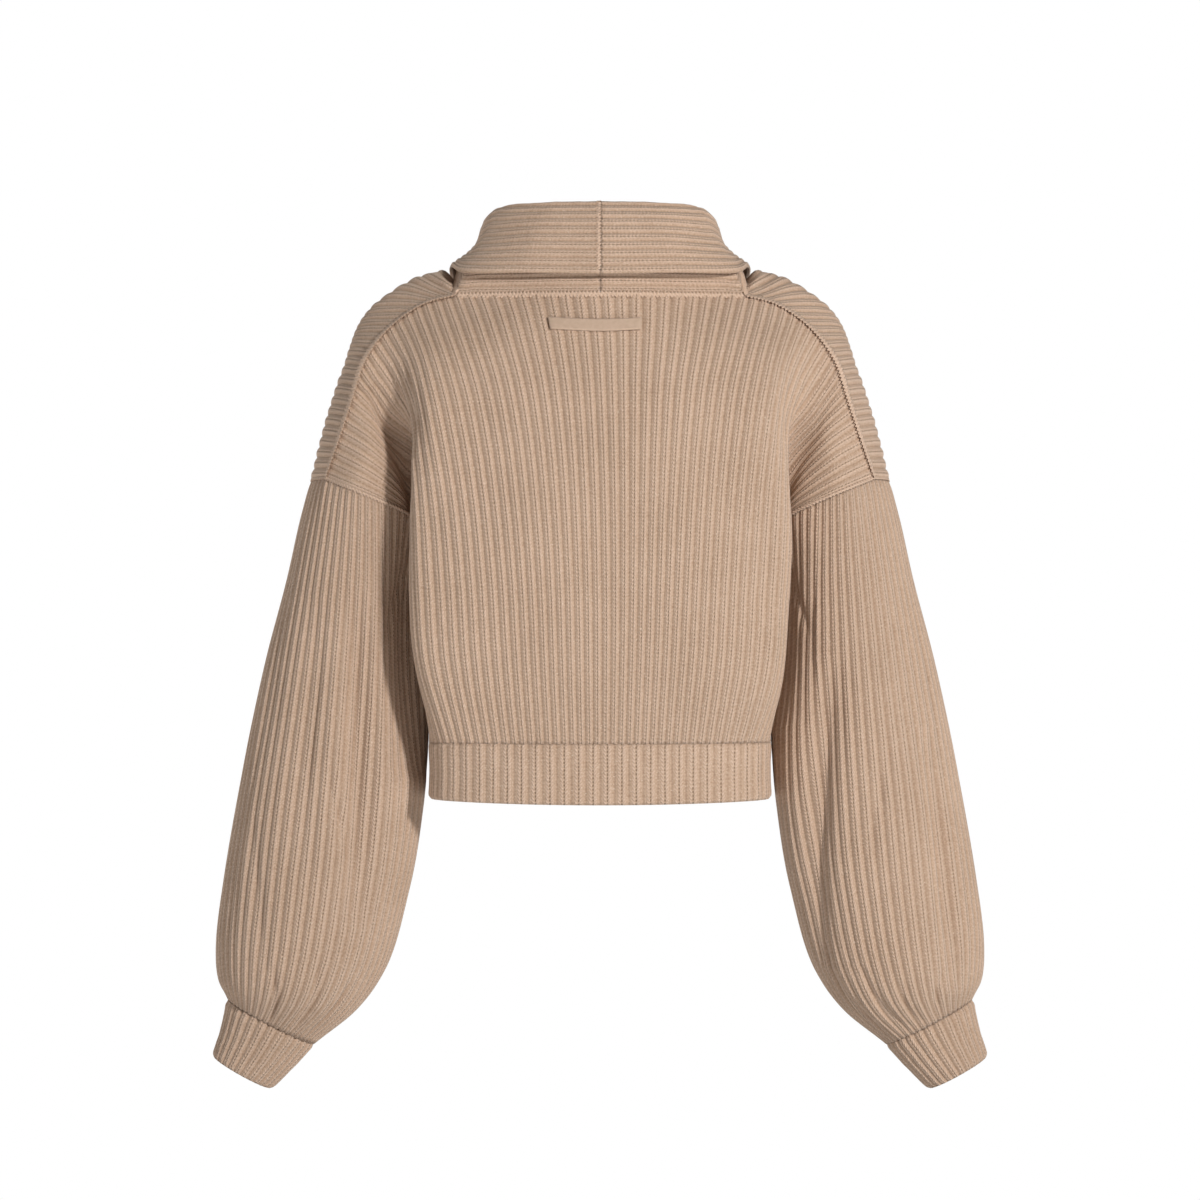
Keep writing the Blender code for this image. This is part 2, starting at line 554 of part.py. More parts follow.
def build_wall(name, outer, inner, closed, colour, picks=None, two_halves=False):
    """A closed body between an outer and an inner grid of points, both given as [across, down].

    The inner grid keeps only the columns picked, and fans of triangles join the two along the top
    and bottom edges. All faces turn over together where they would look inward. With two_halves
    the faces of the first half are divided as the mirror image of the second half's.
    """
    across, down = outer.shape[:2]
    picks = np.arange(across) if picks is None else np.array(sorted(picks))
    inner = inner[picks]
    base = across * down
    points = np.concatenate([outer.reshape(-1, 3), inner.reshape(-1, 3)]) * CM

    def out_at(i, j):
        return (i % across) * down + j

    def in_at(i, j):
        return base + (i % len(picks)) * down + j

    def quads(a, b, c, d, other_way=False):
        """Two triangles for each face, divided from a to c, or from b to d where other_way is true."""
        a, b, c, d = (corner.ravel() for corner in (a, b, c, d))
        swap = (np.zeros(len(a), bool) | other_way)[:, None]
        one = np.where(swap, np.stack([a, b, d], -1), np.stack([a, b, c], -1))
        other = np.where(swap, np.stack([b, c, d], -1), np.stack([a, c, d], -1))
        return np.concatenate([one, other])

    cells = across if closed else across - 1
    starts = np.append(picks, across) if closed else picks
    i, j = np.meshgrid(np.arange(cells), np.arange(down - 1), indexing="ij")
    first_half = (two_halves & (i < across // 2)).ravel()
    faces = [quads(out_at(i, j), out_at(i, j + 1), out_at(i + 1, j + 1), out_at(i + 1, j), first_half)]
    i, j = np.meshgrid(np.arange(len(starts) - 1), np.arange(down - 1), indexing="ij")
    first_half = (two_halves & (i < len(picks) // 2)).ravel()
    faces.append(quads(in_at(i, j), in_at(i + 1, j), in_at(i + 1, j + 1), in_at(i, j + 1), first_half))
    middles = (starts[:-1] + starts[1:] + 1) // 2
    i = np.arange(cells)
    nearest = np.searchsorted(middles, i, side="right")
    k = np.arange(len(starts) - 1)
    for row, turn in ((0, 1), (down - 1, -1)):
        fan = np.stack([out_at(i, row), out_at(i + 1, row), in_at(nearest, row)], -1)
        step = np.stack([out_at(middles, row), in_at(k + 1, row), in_at(k, row)], -1)
        faces += [fan[:, ::turn], step[:, ::turn]]
    if not closed:
        j = np.arange(down - 1)
        first = np.zeros_like(j)
        faces.append(quads(out_at(first, j), in_at(first, j), in_at(first, j + 1), out_at(first, j + 1)))
        last, inner_last = first + cells, first + len(picks) - 1
        faces.append(quads(out_at(last, j), out_at(last, j + 1), in_at(inner_last, j + 1), in_at(inner_last, j)))
    faces = np.concatenate(faces)
    corner = points[faces]
    if np.sum(corner[:, 0] * np.cross(corner[:, 1], corner[:, 2])) < 0:
        faces = faces[:, ::-1]
    mesh = bpy.data.meshes.new(name)
    mesh.from_pydata(points.tolist(), [], faces.tolist())
    mesh.update()
    mesh.materials.append(MATERIALS[colour])
    piece = bpy.data.objects.new(name, mesh)
    GARMENT.objects.link(piece)
    return piece


def rib_pitch(points):
    """Distance from rib to rib, square to the ribs, at each point of a grid with two columns a rib."""
    across = np.gradient(points, axis=0) * 2
    down = unit(np.gradient(points, axis=1))
    return np.linalg.norm(np.cross(across, down), axis=-1)


def knit(points, out, ribs, meets):
    """The raised outer and plain inner grids of a panel.

    Both are thinner where the knit is bunched in a fold, and the ribs are flat at the side edge in
    the rows where it meets the sleeve face to face.
    """
    pitch = rib_pitch(points)
    near_edge = np.clip((np.abs(ribs) - EDGE_RIB + 4) / 2, 0, 1)
    rise = raise_ribs(ribs) * np.clip((pitch - 0.30) / 0.25, 0, 1) * (1 - (1 - meets) * near_edge)
    wall = WALL * np.clip(pitch / 0.6, 0.4, 1)
    return points + rise[..., None] * out, points - wall[..., None] * out


def from_edge(edge, beside, closed=False):
    """Unit directions away from an edge, square to it, along the wall toward the row beside it."""
    if closed:
        along = np.roll(edge, -1, axis=0) - np.roll(edge, 1, axis=0)
    else:
        along = np.gradient(edge, axis=0)
    along = unit(along)
    away = beside - edge
    return unit(away - np.sum(away * along, axis=-1, keepdims=True) * along)


def draw_back(grids, sides, closed=False):
    """Draws the shared edges of a wall back along the wall by half the seam gap."""
    for grid in grids:
        for side in sides:
            edge, beside = {
                "top": (grid[:, 0], grid[:, 1]), "foot": (grid[:, -1], grid[:, -2]),
                "first": (grid[0], grid[1]), "last": (grid[-1], grid[-2]),
            }[side]
            edge += SEAM_GAP / 2 * from_edge(edge, beside, closed and side in ("top", "foot"))


def make_back(directions):
    raised, inner = knit(back_sheet(BACK_U, BACK_V), directions.back, BACK_U, directions.back_meets)
    draw_back((raised, inner), ("top", "foot", "first", "last"))
    half, corner = len(BACK_U) // 2, int(2 * NECK_RIB)
    picks = set(range(0, len(BACK_U), 2)) | {half - corner, half + corner}
    build_wall("back", raised, inner, False, "back", picks, two_halves=True)


def make_fronts(directions):
    raised, inner = knit(front_points(), directions.front, FRONT_U, directions.front_meets)
    draw_back((raised, inner), ("top", "foot", "first", "last"))
    picks = set(range(0, len(FRONT_U), 2)) | set(range(NECK_CORNER_COLUMN + 2))
    build_wall("front_left", raised, inner, False, "front", picks)
    build_wall("front_right", mirrored(raised), mirrored(inner), False, "front", picks)


def make_sleeves(directions):
    """Each sleeve starts on the armhole's own straight edges, a seam gap away, and ends at the cuff."""
    last = SLEEVE_RINGS[-1]
    end_middle = np.array([(last[1] + last[3]) / 2, (last[5] + last[6]) / 2, (last[2] + last[4]) / 2])
    share = directions.sleeve_share
    for side, folds in SLEEVE_FOLDS.items():
        points = sleeve_points(folds)
        out = facing(points, closed=True)
        own = out[:, 0].copy()
        out[:, 0] = directions.sleeve_start
        out[:, -1] = unit(points[:, -1] - end_middle)
        rise = raise_ribs(SLEEVE_R)
        from_underarm = np.abs(180 - np.abs(turned(180.0 - 360.0 * SLEEVE_R[:, :2] / SLEEVE_RIBS)))
        rise[:, :2] *= share * np.clip((from_underarm - 40) / 40, 0, 1)
        fold = fade(from_underarm[:, :1], 45.0)
        raised = points + rise[..., None] * out
        inner = points - WALL * out
        for grid in (raised, inner):
            away = from_edge(grid[:, 0], grid[:, 1], closed=True)
            grid[:, 0] += SEAM_GAP * (share * away - (2 * (1 - share) + 3 * fold) * own)
        draw_back((raised, inner), ("foot",), closed=True)
        if side == "right":
            raised, inner = mirrored(raised), mirrored(inner)
        build_wall("sleeve_" + side, raised, inner, True, "sleeve", SLEEVE_INNER_COLUMNS)


def make_cuffs():
    rib, share = panel_grid(np.arange(2 * CUFF_RIBS) / 2, CUFF_DIVISIONS)
    points = cuff_sheet(rib, share)
    middle = points.mean(axis=0)
    out = unit(points - middle)
    raised = points + raise_ribs(rib)[..., None] * out
    inner = points - WALL * out
    for grid in (raised, inner):
        grid[:, 0] += SEAM_GAP / 2 * unit(middle[1] - middle[0])
    picks = range(0, len(points), 2)
    build_wall("cuff_left", raised, inner, True, "cuff", picks)
    build_wall("cuff_right", mirrored(raised), mirrored(inner), True, "cuff", picks)


def make_waistband():
    """One ring of ribs under the hem, open at the centre front."""
    line = hem_ring(2 * BAND_RIBS + 1)
    step = np.gradient(line, axis=0)
    out = unit(np.stack([step[:, 1], -step[:, 0], np.zeros(len(line))], axis=-1))
    heights = np.array([HEM_Z - SEAM_GAP / 2, BAND_Z])
    points = np.repeat(line[:, None], len(heights), axis=1)
    points[..., 2] = heights
    out = np.repeat(out[:, None], len(heights), axis=1)
    if out[len(line) // 2, 0, 1] < 0:
        out = -out
    ribs = np.arange(2 * BAND_RIBS + 1)[:, None] / 2 * np.ones((1, len(heights)))
    raised = points + raise_ribs(ribs)[..., None] * out
    build_wall("waistband", raised, points - WALL * out, False, "waistband", range(0, len(line), 4))


# ---- collar ----
def collar_seam(directions):
    """Stations along the collar, with the points of its seam and the panels' outward directions there."""
    back = np.array(COLLAR_BACK_STATIONS)
    half = len(BACK_U) // 2
    table = np.array(COLLAR_SEAM_RIBS)[::-1]
    heights = np.array(COLLAR_FOOT_HEIGHTS[1:])
    ribs = np.array(COLLAR_FRONT_RIBS)
    stations = np.concatenate([back, np.interp(ribs, table[:, 1], table[:, 0]), 8 + heights])
    opening = front_sheet(np.full_like(heights, FRONT_RIB), heights)
    points = np.concatenate([back_form(NECK_RIB / 2 * back, np.zeros_like(back)), front_top(ribs), opening])
    out = np.concatenate([
        straight_between(BACK_U[half:, 0], directions.back[half:, 0], NECK_RIB / 2 * back),
        directions.front[COLLAR_COLUMNS, 0],
        straight_between(FRONT_DIVISIONS, directions.front[0], heights),
    ])
    return stations, points, unit(out)


def collar_profile(foot, fold, edge):
    """One section of the collar by rib, evenly spaced: up the stand, over the fold, down to the free edge."""
    rise = unit(fold - foot)
    outward = edge - foot
    outward = unit(outward - np.dot(outward, rise) * rise)
    stand_top = fold - FOLD_RADIUS * (rise + outward)
    fall_top = fold - FOLD_RADIUS * (rise - outward)
    corners = np.array([
        foot,
        (foot + stand_top) / 2 + STAND_HOLLOW * outward,
        stand_top,
        fold,
        fall_top,
        (fall_top + edge) / 2 + FALL_BULGE * outward,
        edge,
    ])
    along = np.concatenate([[0], np.cumsum(np.linalg.norm(np.diff(corners, axis=0), axis=1))])
    fine = spline(along, corners, np.linspace(0, along[-1], 200))
    length = np.concatenate([[0], np.cumsum(np.linalg.norm(np.diff(fine, axis=0), axis=1))])
    return straight_between(length, fine, np.linspace(0, length[-1], 2 * COLLAR_RIBS + 1))


def make_collars(directions):
    """Two halves of one shawl collar, joined at the centre back, each raised in ribs on its top side."""
    stations, seam, seam_out = collar_seam(directions)
    table = np.array([row[0] for row in COLLAR_STATIONS])
    fold = spline(table, [row[1] for row in COLLAR_STATIONS], stations)
    edge = spline(table, [row[2] for row in COLLAR_STATIONS], stations)
    foot = seam - WALL * seam_out
    points = np.stack([collar_profile(*place) for place in zip(foot, fold, edge)], axis=1)
    out = facing(points, sense=-1)
    out[0] = -seam_out
    ribs = np.arange(2 * COLLAR_RIBS + 1)[:, None] / 2 * np.ones((1, len(stations)))
    raised = points + raise_ribs(ribs)[..., None] * out
    inner = points - WALL * out
    for grid in (raised, inner):
        lift = SEAM_GAP * (2 + 8 * fade(np.abs(stations - 2.2), 1.5))
        grid[0] += lift[:, None] * from_edge(grid[0], grid[1])
        grid[:, 0, 0] = SEAM_GAP / 2
    picks = range(0, len(points), 3)
    build_wall("collar_left", raised, inner, False, "collar", picks)
    build_wall("collar_right", mirrored(raised), mirrored(inner), False, "collar", picks)


def make_strip():
    """A bare strip sewn across the upper back, made from the back's own points, moved out."""
    ribs = np.linspace(LOOP_RIBS[0], LOOP_RIBS[1], 9)
    u, v = panel_grid(ribs, LOOP_HEIGHTS)
    points = back_sheet(u, v)
    out = facing(points)
    lift = RIB_RAISE + SEAM_GAP
    build_wall("back_strip", points + (lift + LOOP_THICK) * out, points + lift * out, False, "strip")


def make_material(name):
    material = bpy.data.materials.new("knit_" + name)
    material.use_nodes = True
    shader = material.node_tree.nodes["Principled BSDF"]
    shader.inputs["Base Color"].default_value = COLOURS[name] + (1.0,)
    shader.inputs["Roughness"].default_value = KNIT_ROUGHNESS
    shader.inputs["Metallic"].default_value = 0.0
    return material


for old in list(bpy.data.objects):
    bpy.data.objects.remove(old, do_unlink=True)
GARMENT = bpy.data.collections.new("cropped_cardigan")
bpy.context.scene.collection.children.link(GARMENT)
MATERIALS = {name: make_material(name) for name in COLOURS}

DIRECTIONS = Directions()
make_back(DIRECTIONS)
make_fronts(DIRECTIONS)
make_sleeves(DIRECTIONS)
make_cuffs()
make_waistband()
make_collars(DIRECTIONS)
make_strip()
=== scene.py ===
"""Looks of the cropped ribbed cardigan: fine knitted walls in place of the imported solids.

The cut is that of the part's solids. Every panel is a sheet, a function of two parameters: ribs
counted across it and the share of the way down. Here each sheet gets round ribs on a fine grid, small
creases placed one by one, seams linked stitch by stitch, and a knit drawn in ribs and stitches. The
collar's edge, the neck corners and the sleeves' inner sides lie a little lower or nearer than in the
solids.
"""
import math

import bpy
import numpy as np
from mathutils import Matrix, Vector

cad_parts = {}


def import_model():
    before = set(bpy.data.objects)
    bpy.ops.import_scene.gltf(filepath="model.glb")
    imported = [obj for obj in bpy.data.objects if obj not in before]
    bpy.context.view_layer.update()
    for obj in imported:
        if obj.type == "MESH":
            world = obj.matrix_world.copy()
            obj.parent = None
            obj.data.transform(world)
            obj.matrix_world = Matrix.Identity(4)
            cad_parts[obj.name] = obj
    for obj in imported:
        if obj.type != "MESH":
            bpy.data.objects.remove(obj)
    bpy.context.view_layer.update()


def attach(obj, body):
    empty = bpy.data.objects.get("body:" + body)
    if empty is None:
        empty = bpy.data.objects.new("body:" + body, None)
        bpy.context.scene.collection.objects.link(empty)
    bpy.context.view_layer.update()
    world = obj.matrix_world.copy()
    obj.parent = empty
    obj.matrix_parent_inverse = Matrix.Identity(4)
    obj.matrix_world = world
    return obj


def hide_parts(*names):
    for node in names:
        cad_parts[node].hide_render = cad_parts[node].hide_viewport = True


CM = 0.01

# ---- the garment's sizes ----
WALL = 0.24
SEAM_GAP = 0.03
EDGE_RIB = 33.0             # ribs are counted out from the centre back and from the centre front
NECK_RIB = 10.5
FRONT_RIB = 4.0
WANDER = 1.2                # ribs by which the back's middle wanders aside on its way down
LEAN = 3.4                  # ribs by which the front's top leans out, fullest at LEAN_RIB
LEAN_RIB = 12.0
LEAN_END = 23.0
EDGE_REACH = (7.5, 6.0)     # ribs over which the back and the fronts are drawn onto their side edges
TOP_REACH = 0.1             # share of the height over which they are drawn onto their top edges
NECK_Z = -0.5
HEM_Z = -37.6
BAND_Z = -42.3
BAND_RIBS = 72
BAND_DIP = 0.07             # share by which the waistband is deeper at its middle
BAND_HALF = 14.0            # half its width
FRONT_OPENING = 0.6
SLEEVE_RIBS = 50
SLEEVE_TWIST = 24.0
CUFF_RIBS = 28
COLLAR_RIBS = 21
FOLD_RADIUS = 0.38          # of the collar's fold
STAND_HOLLOW = 0.15
FALL_BULGE = (              # station, and how far the collar's fall stands out halfway down
    (0.0, 0.45), (1.0, 0.40), (1.8, -0.25), (2.5, -0.75), (3.2, -0.45),
    (4.2, 0.25), (5.0, 0.45), (9.0, 0.45),
)
STRIP_RIBS = (-2.9, 4.0)
STRIP_HEIGHTS = (0.060, 0.087)
STRIP_THICK = 0.12

# ---- the knit ----
MAP_NAME = "ribs_and_stitches"
RIB_HEIGHT = 0.24           # a round rib over its furrows, at its fullest
BACK_RELIEF = 0.58          # shares of that height on each piece: the back is stretched the flattest
FRONT_RELIEF = 0.66
SLEEVE_RELIEF = 0.82
COLLAR_RELIEF = 0.62
BAND_RELIEF = 0.085         # the waistband's ribs, in centimetres
UNEVEN = 0.14               # share by which ribs differ in height
PLAIN_PITCH = 0.85          # from rib to rib, where the ribs are at their full height
HALF_RIB = 0.10             # by which the furrows lie under the sheets' own form
SEAM_SINK = {               # how far the knit draws in at a seam, and how soon that fades
    "panel": (0.04, 0.35),
    "sleeve": (0.05, 0.35),
    "cuff": (0.14, 0.30),
    "waistband": (0.09, 0.30),
}
STITCH = 0.31               # height of one stitch
FINE = 8                    # columns for each rib
PANEL_ROWS = (70, 56)       # rows above and below the underarm
SLEEVE_ROWS = 130
CUFF_ROWS = 26
BAND_ROWS = 22
COLLAR_STEPS = (30, 34, 70)  # over the back, the shoulders and the fronts

# ---- back panel: a row for each height, a column for each named rib ----
BACK_RIBS = (0.0, 10.5, 17.0, 19.5, 21.5, 25.5, 33.0)
BACK_ROWS = (0.0, 0.104, 0.193, 0.303, 0.459, 0.636, 0.813, 1.0)
BACK_X = (
    (0.0, 11.95, 17.2, 18.55, 19.6, 20.7, 22.9),
    (0.0, 10.75, 15.55, 16.65, 17.4, 18.25, 20.45),
    (0.0, 9.8, 14.7, 15.65, 15.7, 16.25, 18.1),
    (0.0, 9.1, 14.2, 15.55, 15.5, 15.05, 15.7),
    (0.0, 8.45, 13.65, 15.4, 15.7, 14.85, 13.8),
    (0.0, 7.95, 13.2, 15.15, 15.65, 14.65, 13.3),
    (0.0, 7.6, 12.8, 14.7, 15.2, 14.35, 13.2),
    (0.0, 6.95, 11.45, 12.95, 13.75, 14.2, 14.1),
)
BACK_Y = (
    (7.5, 5.2, 4.8, 4.7, 4.6, 4.4, 3.0),
    (8.8, 7.9, 7.1, 5.7, 5.0, 5.1, 4.9),
    (9.8, 9.2, 8.3, 6.6, 4.9, 3.9, 4.85),
    (10.6, 10.1, 9.1, 7.7, 5.9, 3.0, 3.2),
    (11.1, 10.7, 9.5, 8.6, 6.8, 4.4, -1.5),
    (11.1, 10.8, 9.7, 8.9, 7.2, 3.9, -2.4),
    (10.7, 10.5, 9.5, 8.7, 7.1, 3.8, -2.2),
    (10.0, 9.5, 8.3, 7.4, 6.3, 3.7, -1.5),
)
BACK_Z = (
    (-0.5, -0.5, -2.9, -4.55, -5.9, -9.2, -15.6),
    (-4.4, -4.4, -6.55, -7.95, -9.4, -11.4, -16.6),
    (-7.75, -7.8, -9.75, -10.85, -12.05, -13.7, -17.6),
    (-11.9, -11.9, -13.6, -14.5, -15.35, -16.65, -18.95),
    (-17.65, -17.65, -18.95, -19.6, -20.3, -21.6, -21.6),
    (-24.15, -24.2, -24.9, -25.3, -25.7, -26.3, -26.8),
    (-30.65, -30.7, -31.1, -31.4, -31.6, -32.05, -32.4),
    (HEM_Z,) * 7,
)

# ---- left front; its top row comes from the neckline and the shoulder seam ----
FRONT_RIBS = (4.0, 6.5, 8.8, 10.5, 11.8, 13.5, 17.0, 23.0, 27.0, 33.0)
FRONT_ROWS = (0.1, 0.22, 0.38, 0.56, 0.78, 1.0)
FRONT_X = (
    (3.4, 7.2, 10.1, 12.8, 14.2, 15.6, 19.3, 21.8, 22.8, 24.15),
    (3.4, 7.2, 9.3, 11.6, 12.7, 13.9, 17.9, 20.7, 21.8, 22.6),
    (3.35, 6.6, 8.6, 10.2, 11.0, 12.0, 14.7, 16.9, 16.8, 17.6),
    (3.3, 5.9, 7.8, 9.1, 9.95, 10.9, 13.0, 15.3, 14.8, 13.8),
    (3.15, 5.2, 6.8, 8.2, 9.0, 10.0, 12.2, 14.6, 14.5, 13.3),
    (2.9, 4.4, 5.8, 6.9, 7.75, 8.8, 10.9, 13.2, 14.1, 14.1),
)
FRONT_Y = (
    (-12.4, -10.9, -7.3, 1.6, 1.5, 1.45, 1.2, 1.0, 0.9, 0.5),
    (-12.4, -11.5, -9.4, -4.4, -4.5, -4.6, -4.0, -3.7, -4.0, -4.3),
    (-12.3, -11.9, -11.0, -9.0, -9.05, -9.0, -8.6, -7.4, -5.7, -6.2),
    (-12.1, -12.1, -11.8, -11.2, -11.15, -11.0, -10.5, -8.3, -5.2, -1.5),
    (-11.6, -11.7, -11.5, -11.6, -11.45, -11.2, -10.6, -8.0, -5.5, -2.4),
    (-10.9, -10.8, -10.65, -10.5, -10.35, -10.1, -9.3, -7.2, -4.7, -1.5),
)
FRONT_Z = (
    (-25.4, -13.2, -2.9, 1.55, 1.5, 1.05, -1.5, -6.9, -10.3, -15.65),
    (-27.1, -16.6, -6.6, -0.6, -0.95, -1.6, -4.7, -8.9, -12.1, -16.4),
    (-29.3, -21.0, -13.3, -6.6, -7.0, -7.6, -9.9, -13.0, -15.9, -18.3),
    (-31.8, -26.0, -20.7, -15.6, -16.0, -16.5, -18.4, -21.1, -21.9, -21.6),
    (-34.9, -32.0, -29.8, -26.8, -27.1, -27.4, -27.8, -29.0, -29.4, -29.7),
    (HEM_Z,) * 10,
)

# ---- seams that two pieces share: each row is (parameter, x, y, z) ----
SHOULDER_SEAM = (
    (10.5, 11.95, 5.2, -0.5),
    (13.5, 14.5, 4.95, -1.15),
    (17.0, 17.2, 4.8, -2.9),
    (21.5, 19.6, 4.6, -5.9),
    (25.5, 20.7, 4.4, -9.2),
    (29.5, 21.85, 3.9, -12.65),
    (33.0, 22.9, 3.0, -15.6),
)
NECKLINE = (
    (4.0, 3.4, -12.4, -24.0),
    (5.3, 5.5, -11.85, -17.5),
    (6.5, 7.3, -10.7, -10.5),
    (7.7, 8.6, -8.6, -4.5),
    (8.8, 9.9, -4.2, 0.8),
    (9.8, 11.5, 1.4, 1.75),
    (10.5, 11.95, 5.2, -0.5),
)
BACK_ARMHOLE = (
    (0.0, 22.9, 3.0, -15.6),
    (0.104, 20.45, 4.9, -16.6),
    (0.193, 18.1, 4.85, -17.6),
    (0.303, 15.7, 3.2, -18.8),
    (0.38, 14.6, 1.2, -19.9),
    (0.459, 13.8, -1.5, -21.6),
)
FRONT_ARMHOLE = (
    (0.0, 22.9, 3.0, -15.6),
    (0.07, 24.15, 0.5, -15.65),
    (0.22, 22.6, -4.3, -16.4),
    (0.38, 17.5, -6.1, -18.3),
    (0.47, 15.2, -4.5, -19.7),
    (0.56, 13.8, -1.5, -21.6),
)
SIDE_SEAM = (
    (0.0, 13.8, -1.5, -21.6),
    (0.33, 13.3, -2.4, -26.8),
    (0.66, 13.2, -2.2, -32.4),
    (1.0, 14.1, -1.5, HEM_Z),
)
BACK_UNDERARM = 0.459
FRONT_UNDERARM = 0.56

# ---- left sleeve and cuff: share, outer x, z, inner x, z, back y, front y ----
SLEEVE_RINGS = (
    (0.08, 25.3, -19.3, 14.8, -24.6, 5.0, -7.4),
    (0.2, 26.4, -24.2, 14.6, -29.0, 5.2, -7.8),
    (0.36, 28.1, -31.4, 14.45, -35.0, 5.6, -7.6),
    (0.55, 30.2, -41.2, 14.85, -43.0, 6.0, -7.2),
    (0.72, 31.6, -49.4, 16.1, -50.0, 6.2, -7.0),
    (0.85, 32.2, -55.0, 18.3, -57.0, 6.0, -6.6),
    (0.93, 32.0, -57.7, 20.6, -60.3, 5.0, -5.6),
    (1.0, 31.3, -59.3, 24.0, -63.1, 3.2, -3.8),
)
CUFF_RINGS = (
    (0.0, 31.3, -59.3, 24.0, -63.1, 3.2, -3.8),
    (0.5, 31.8, -61.6, 25.7, -65.0, 2.7, -3.3),
    (1.0, 32.6, -64.1, 27.6, -66.9, 2.3, -2.9),
)
BACK_ARMHOLE_ANGLE = ((0.0, 46.8), (0.104, 82.0), (0.193, 112.0), (0.303, 140.0), (0.459, 180.0))
FRONT_ARMHOLE_ANGLE = ((0.0, 46.8), (0.07, 14.0), (0.22, -40.0), (0.38, -105.0), (0.56, -180.0))

# ---- long folds of the sleeves: share and angle at the top and at the foot, depth, half-width ----
SLEEVE_FOLDS = {
    "left": (
        (0.0, 140.0, 0.5, 150.0, 1.2, 21.0),
        (0.14, 90.0, 0.78, 122.0, 1.15, 11.0),
        (0.2, 62.0, 0.7, 80.0, 0.45, 10.0),
        (0.15, -88.0, 0.7, -118.0, 0.8, 16.0),
    ),
    "right": (
        (0.0, 146.0, 0.4, 152.0, 0.55, 18.0),
        (0.28, 104.0, 0.84, 150.0, 1.1, 11.0),
        (0.45, 42.0, 0.93, 56.0, 0.75, 9.0),
        (0.12, -84.0, 0.68, -114.0, 0.8, 16.0),
    ),
}

# ---- collar: station from the centre back to the foot of the front, top of the fold, free edge ----
COLLAR_STATIONS = (
    (0.0, (0.0, 6.7, 7.0), (0.0, 8.8, 1.0)),
    (1.0, (4.7, 6.1, 6.95), (6.3, 8.1, 1.15)),
    (2.0, (8.1, 3.9, 6.8), (11.2, 6.0, 1.35)),
    (3.0, (8.8, 0.6, 6.0), (12.5, 1.9, 2.1)),
    (4.0, (7.8, -4.4, 3.4), (12.7, -4.8, 0.9)),
    (5.0, (6.6, -8.6, -1.6), (12.6, -8.9, -3.9)),
    (6.0, (4.9, -11.3, -8.4), (11.6, -11.2, -11.4)),
    (7.0, (2.8, -12.9, -16.2), (9.6, -12.8, -18.6)),
    (8.0, (0.9, -13.4, -23.4), (7.2, -13.4, -25.6)),
    (9.0, (0.6, -11.9, -37.1), (5.4, -11.9, -37.2)),
)
NECK_CORNER = 2             # the stations of the neck corner and of the top of the front opening
OPENING_TOP = 8
COLLAR_SEAM_RIBS = ((2.0, 10.5), (3.0, 9.8), (4.0, 8.8), (5.0, 7.7), (6.0, 6.5), (7.0, 5.3), (8.0, 4.0))

# ---- small creases, as (depth, half-width, points along it as (rib, share down)) ----
BACK_CREASES = (
    (1.5, 1.05, ((23.0, 0.03), (24.2, 0.1), (25.6, 0.2), (27.0, 0.31), (29.0, 0.4))),
    (0.34, 0.38, ((20.3, 0.02), (20.3, 0.12), (20.2, 0.24), (20.4, 0.4))),
    (0.18, 0.45, ((17.5, 0.06), (18.5, 0.18), (19.5, 0.3))),
    (0.55, 0.9, ((-23.5, 0.03), (-25.0, 0.12), (-26.5, 0.24), (-28.5, 0.36))),
    (-0.14, 0.7, ((15.0, 0.1), (16.5, 0.26), (18.0, 0.46))),
    (0.22, 0.5, ((-20.8, 0.03), (-21.2, 0.14), (-21.8, 0.3))),
    (0.14, 0.45, ((-17.2, 0.08), (-18.6, 0.22), (-19.8, 0.36))),
    (-0.12, 0.7, ((-15.2, 0.12), (-16.6, 0.28), (-18.2, 0.5))),
    (0.1, 0.9, ((6.0, 0.7), (12.0, 0.8), (18.0, 0.84))),
    (0.1, 0.9, ((-5.0, 0.78), (-12.0, 0.74), (-19.0, 0.8))),
    (0.08, 1.1, ((-9.0, 0.3), (0.0, 0.27), (9.0, 0.31))),
)
FRONT_CREASES = (
    (0.26, 0.6, ((24.0, 0.16), (24.5, 0.3), (26.0, 0.46))),
    (0.18, 0.6, ((19.0, 0.2), (21.0, 0.36), (23.5, 0.52))),
    (0.14, 0.8, ((12.0, 0.44), (17.0, 0.58), (22.0, 0.66))),
    (0.12, 0.9, ((10.0, 0.8), (16.0, 0.84), (22.0, 0.8))),
)
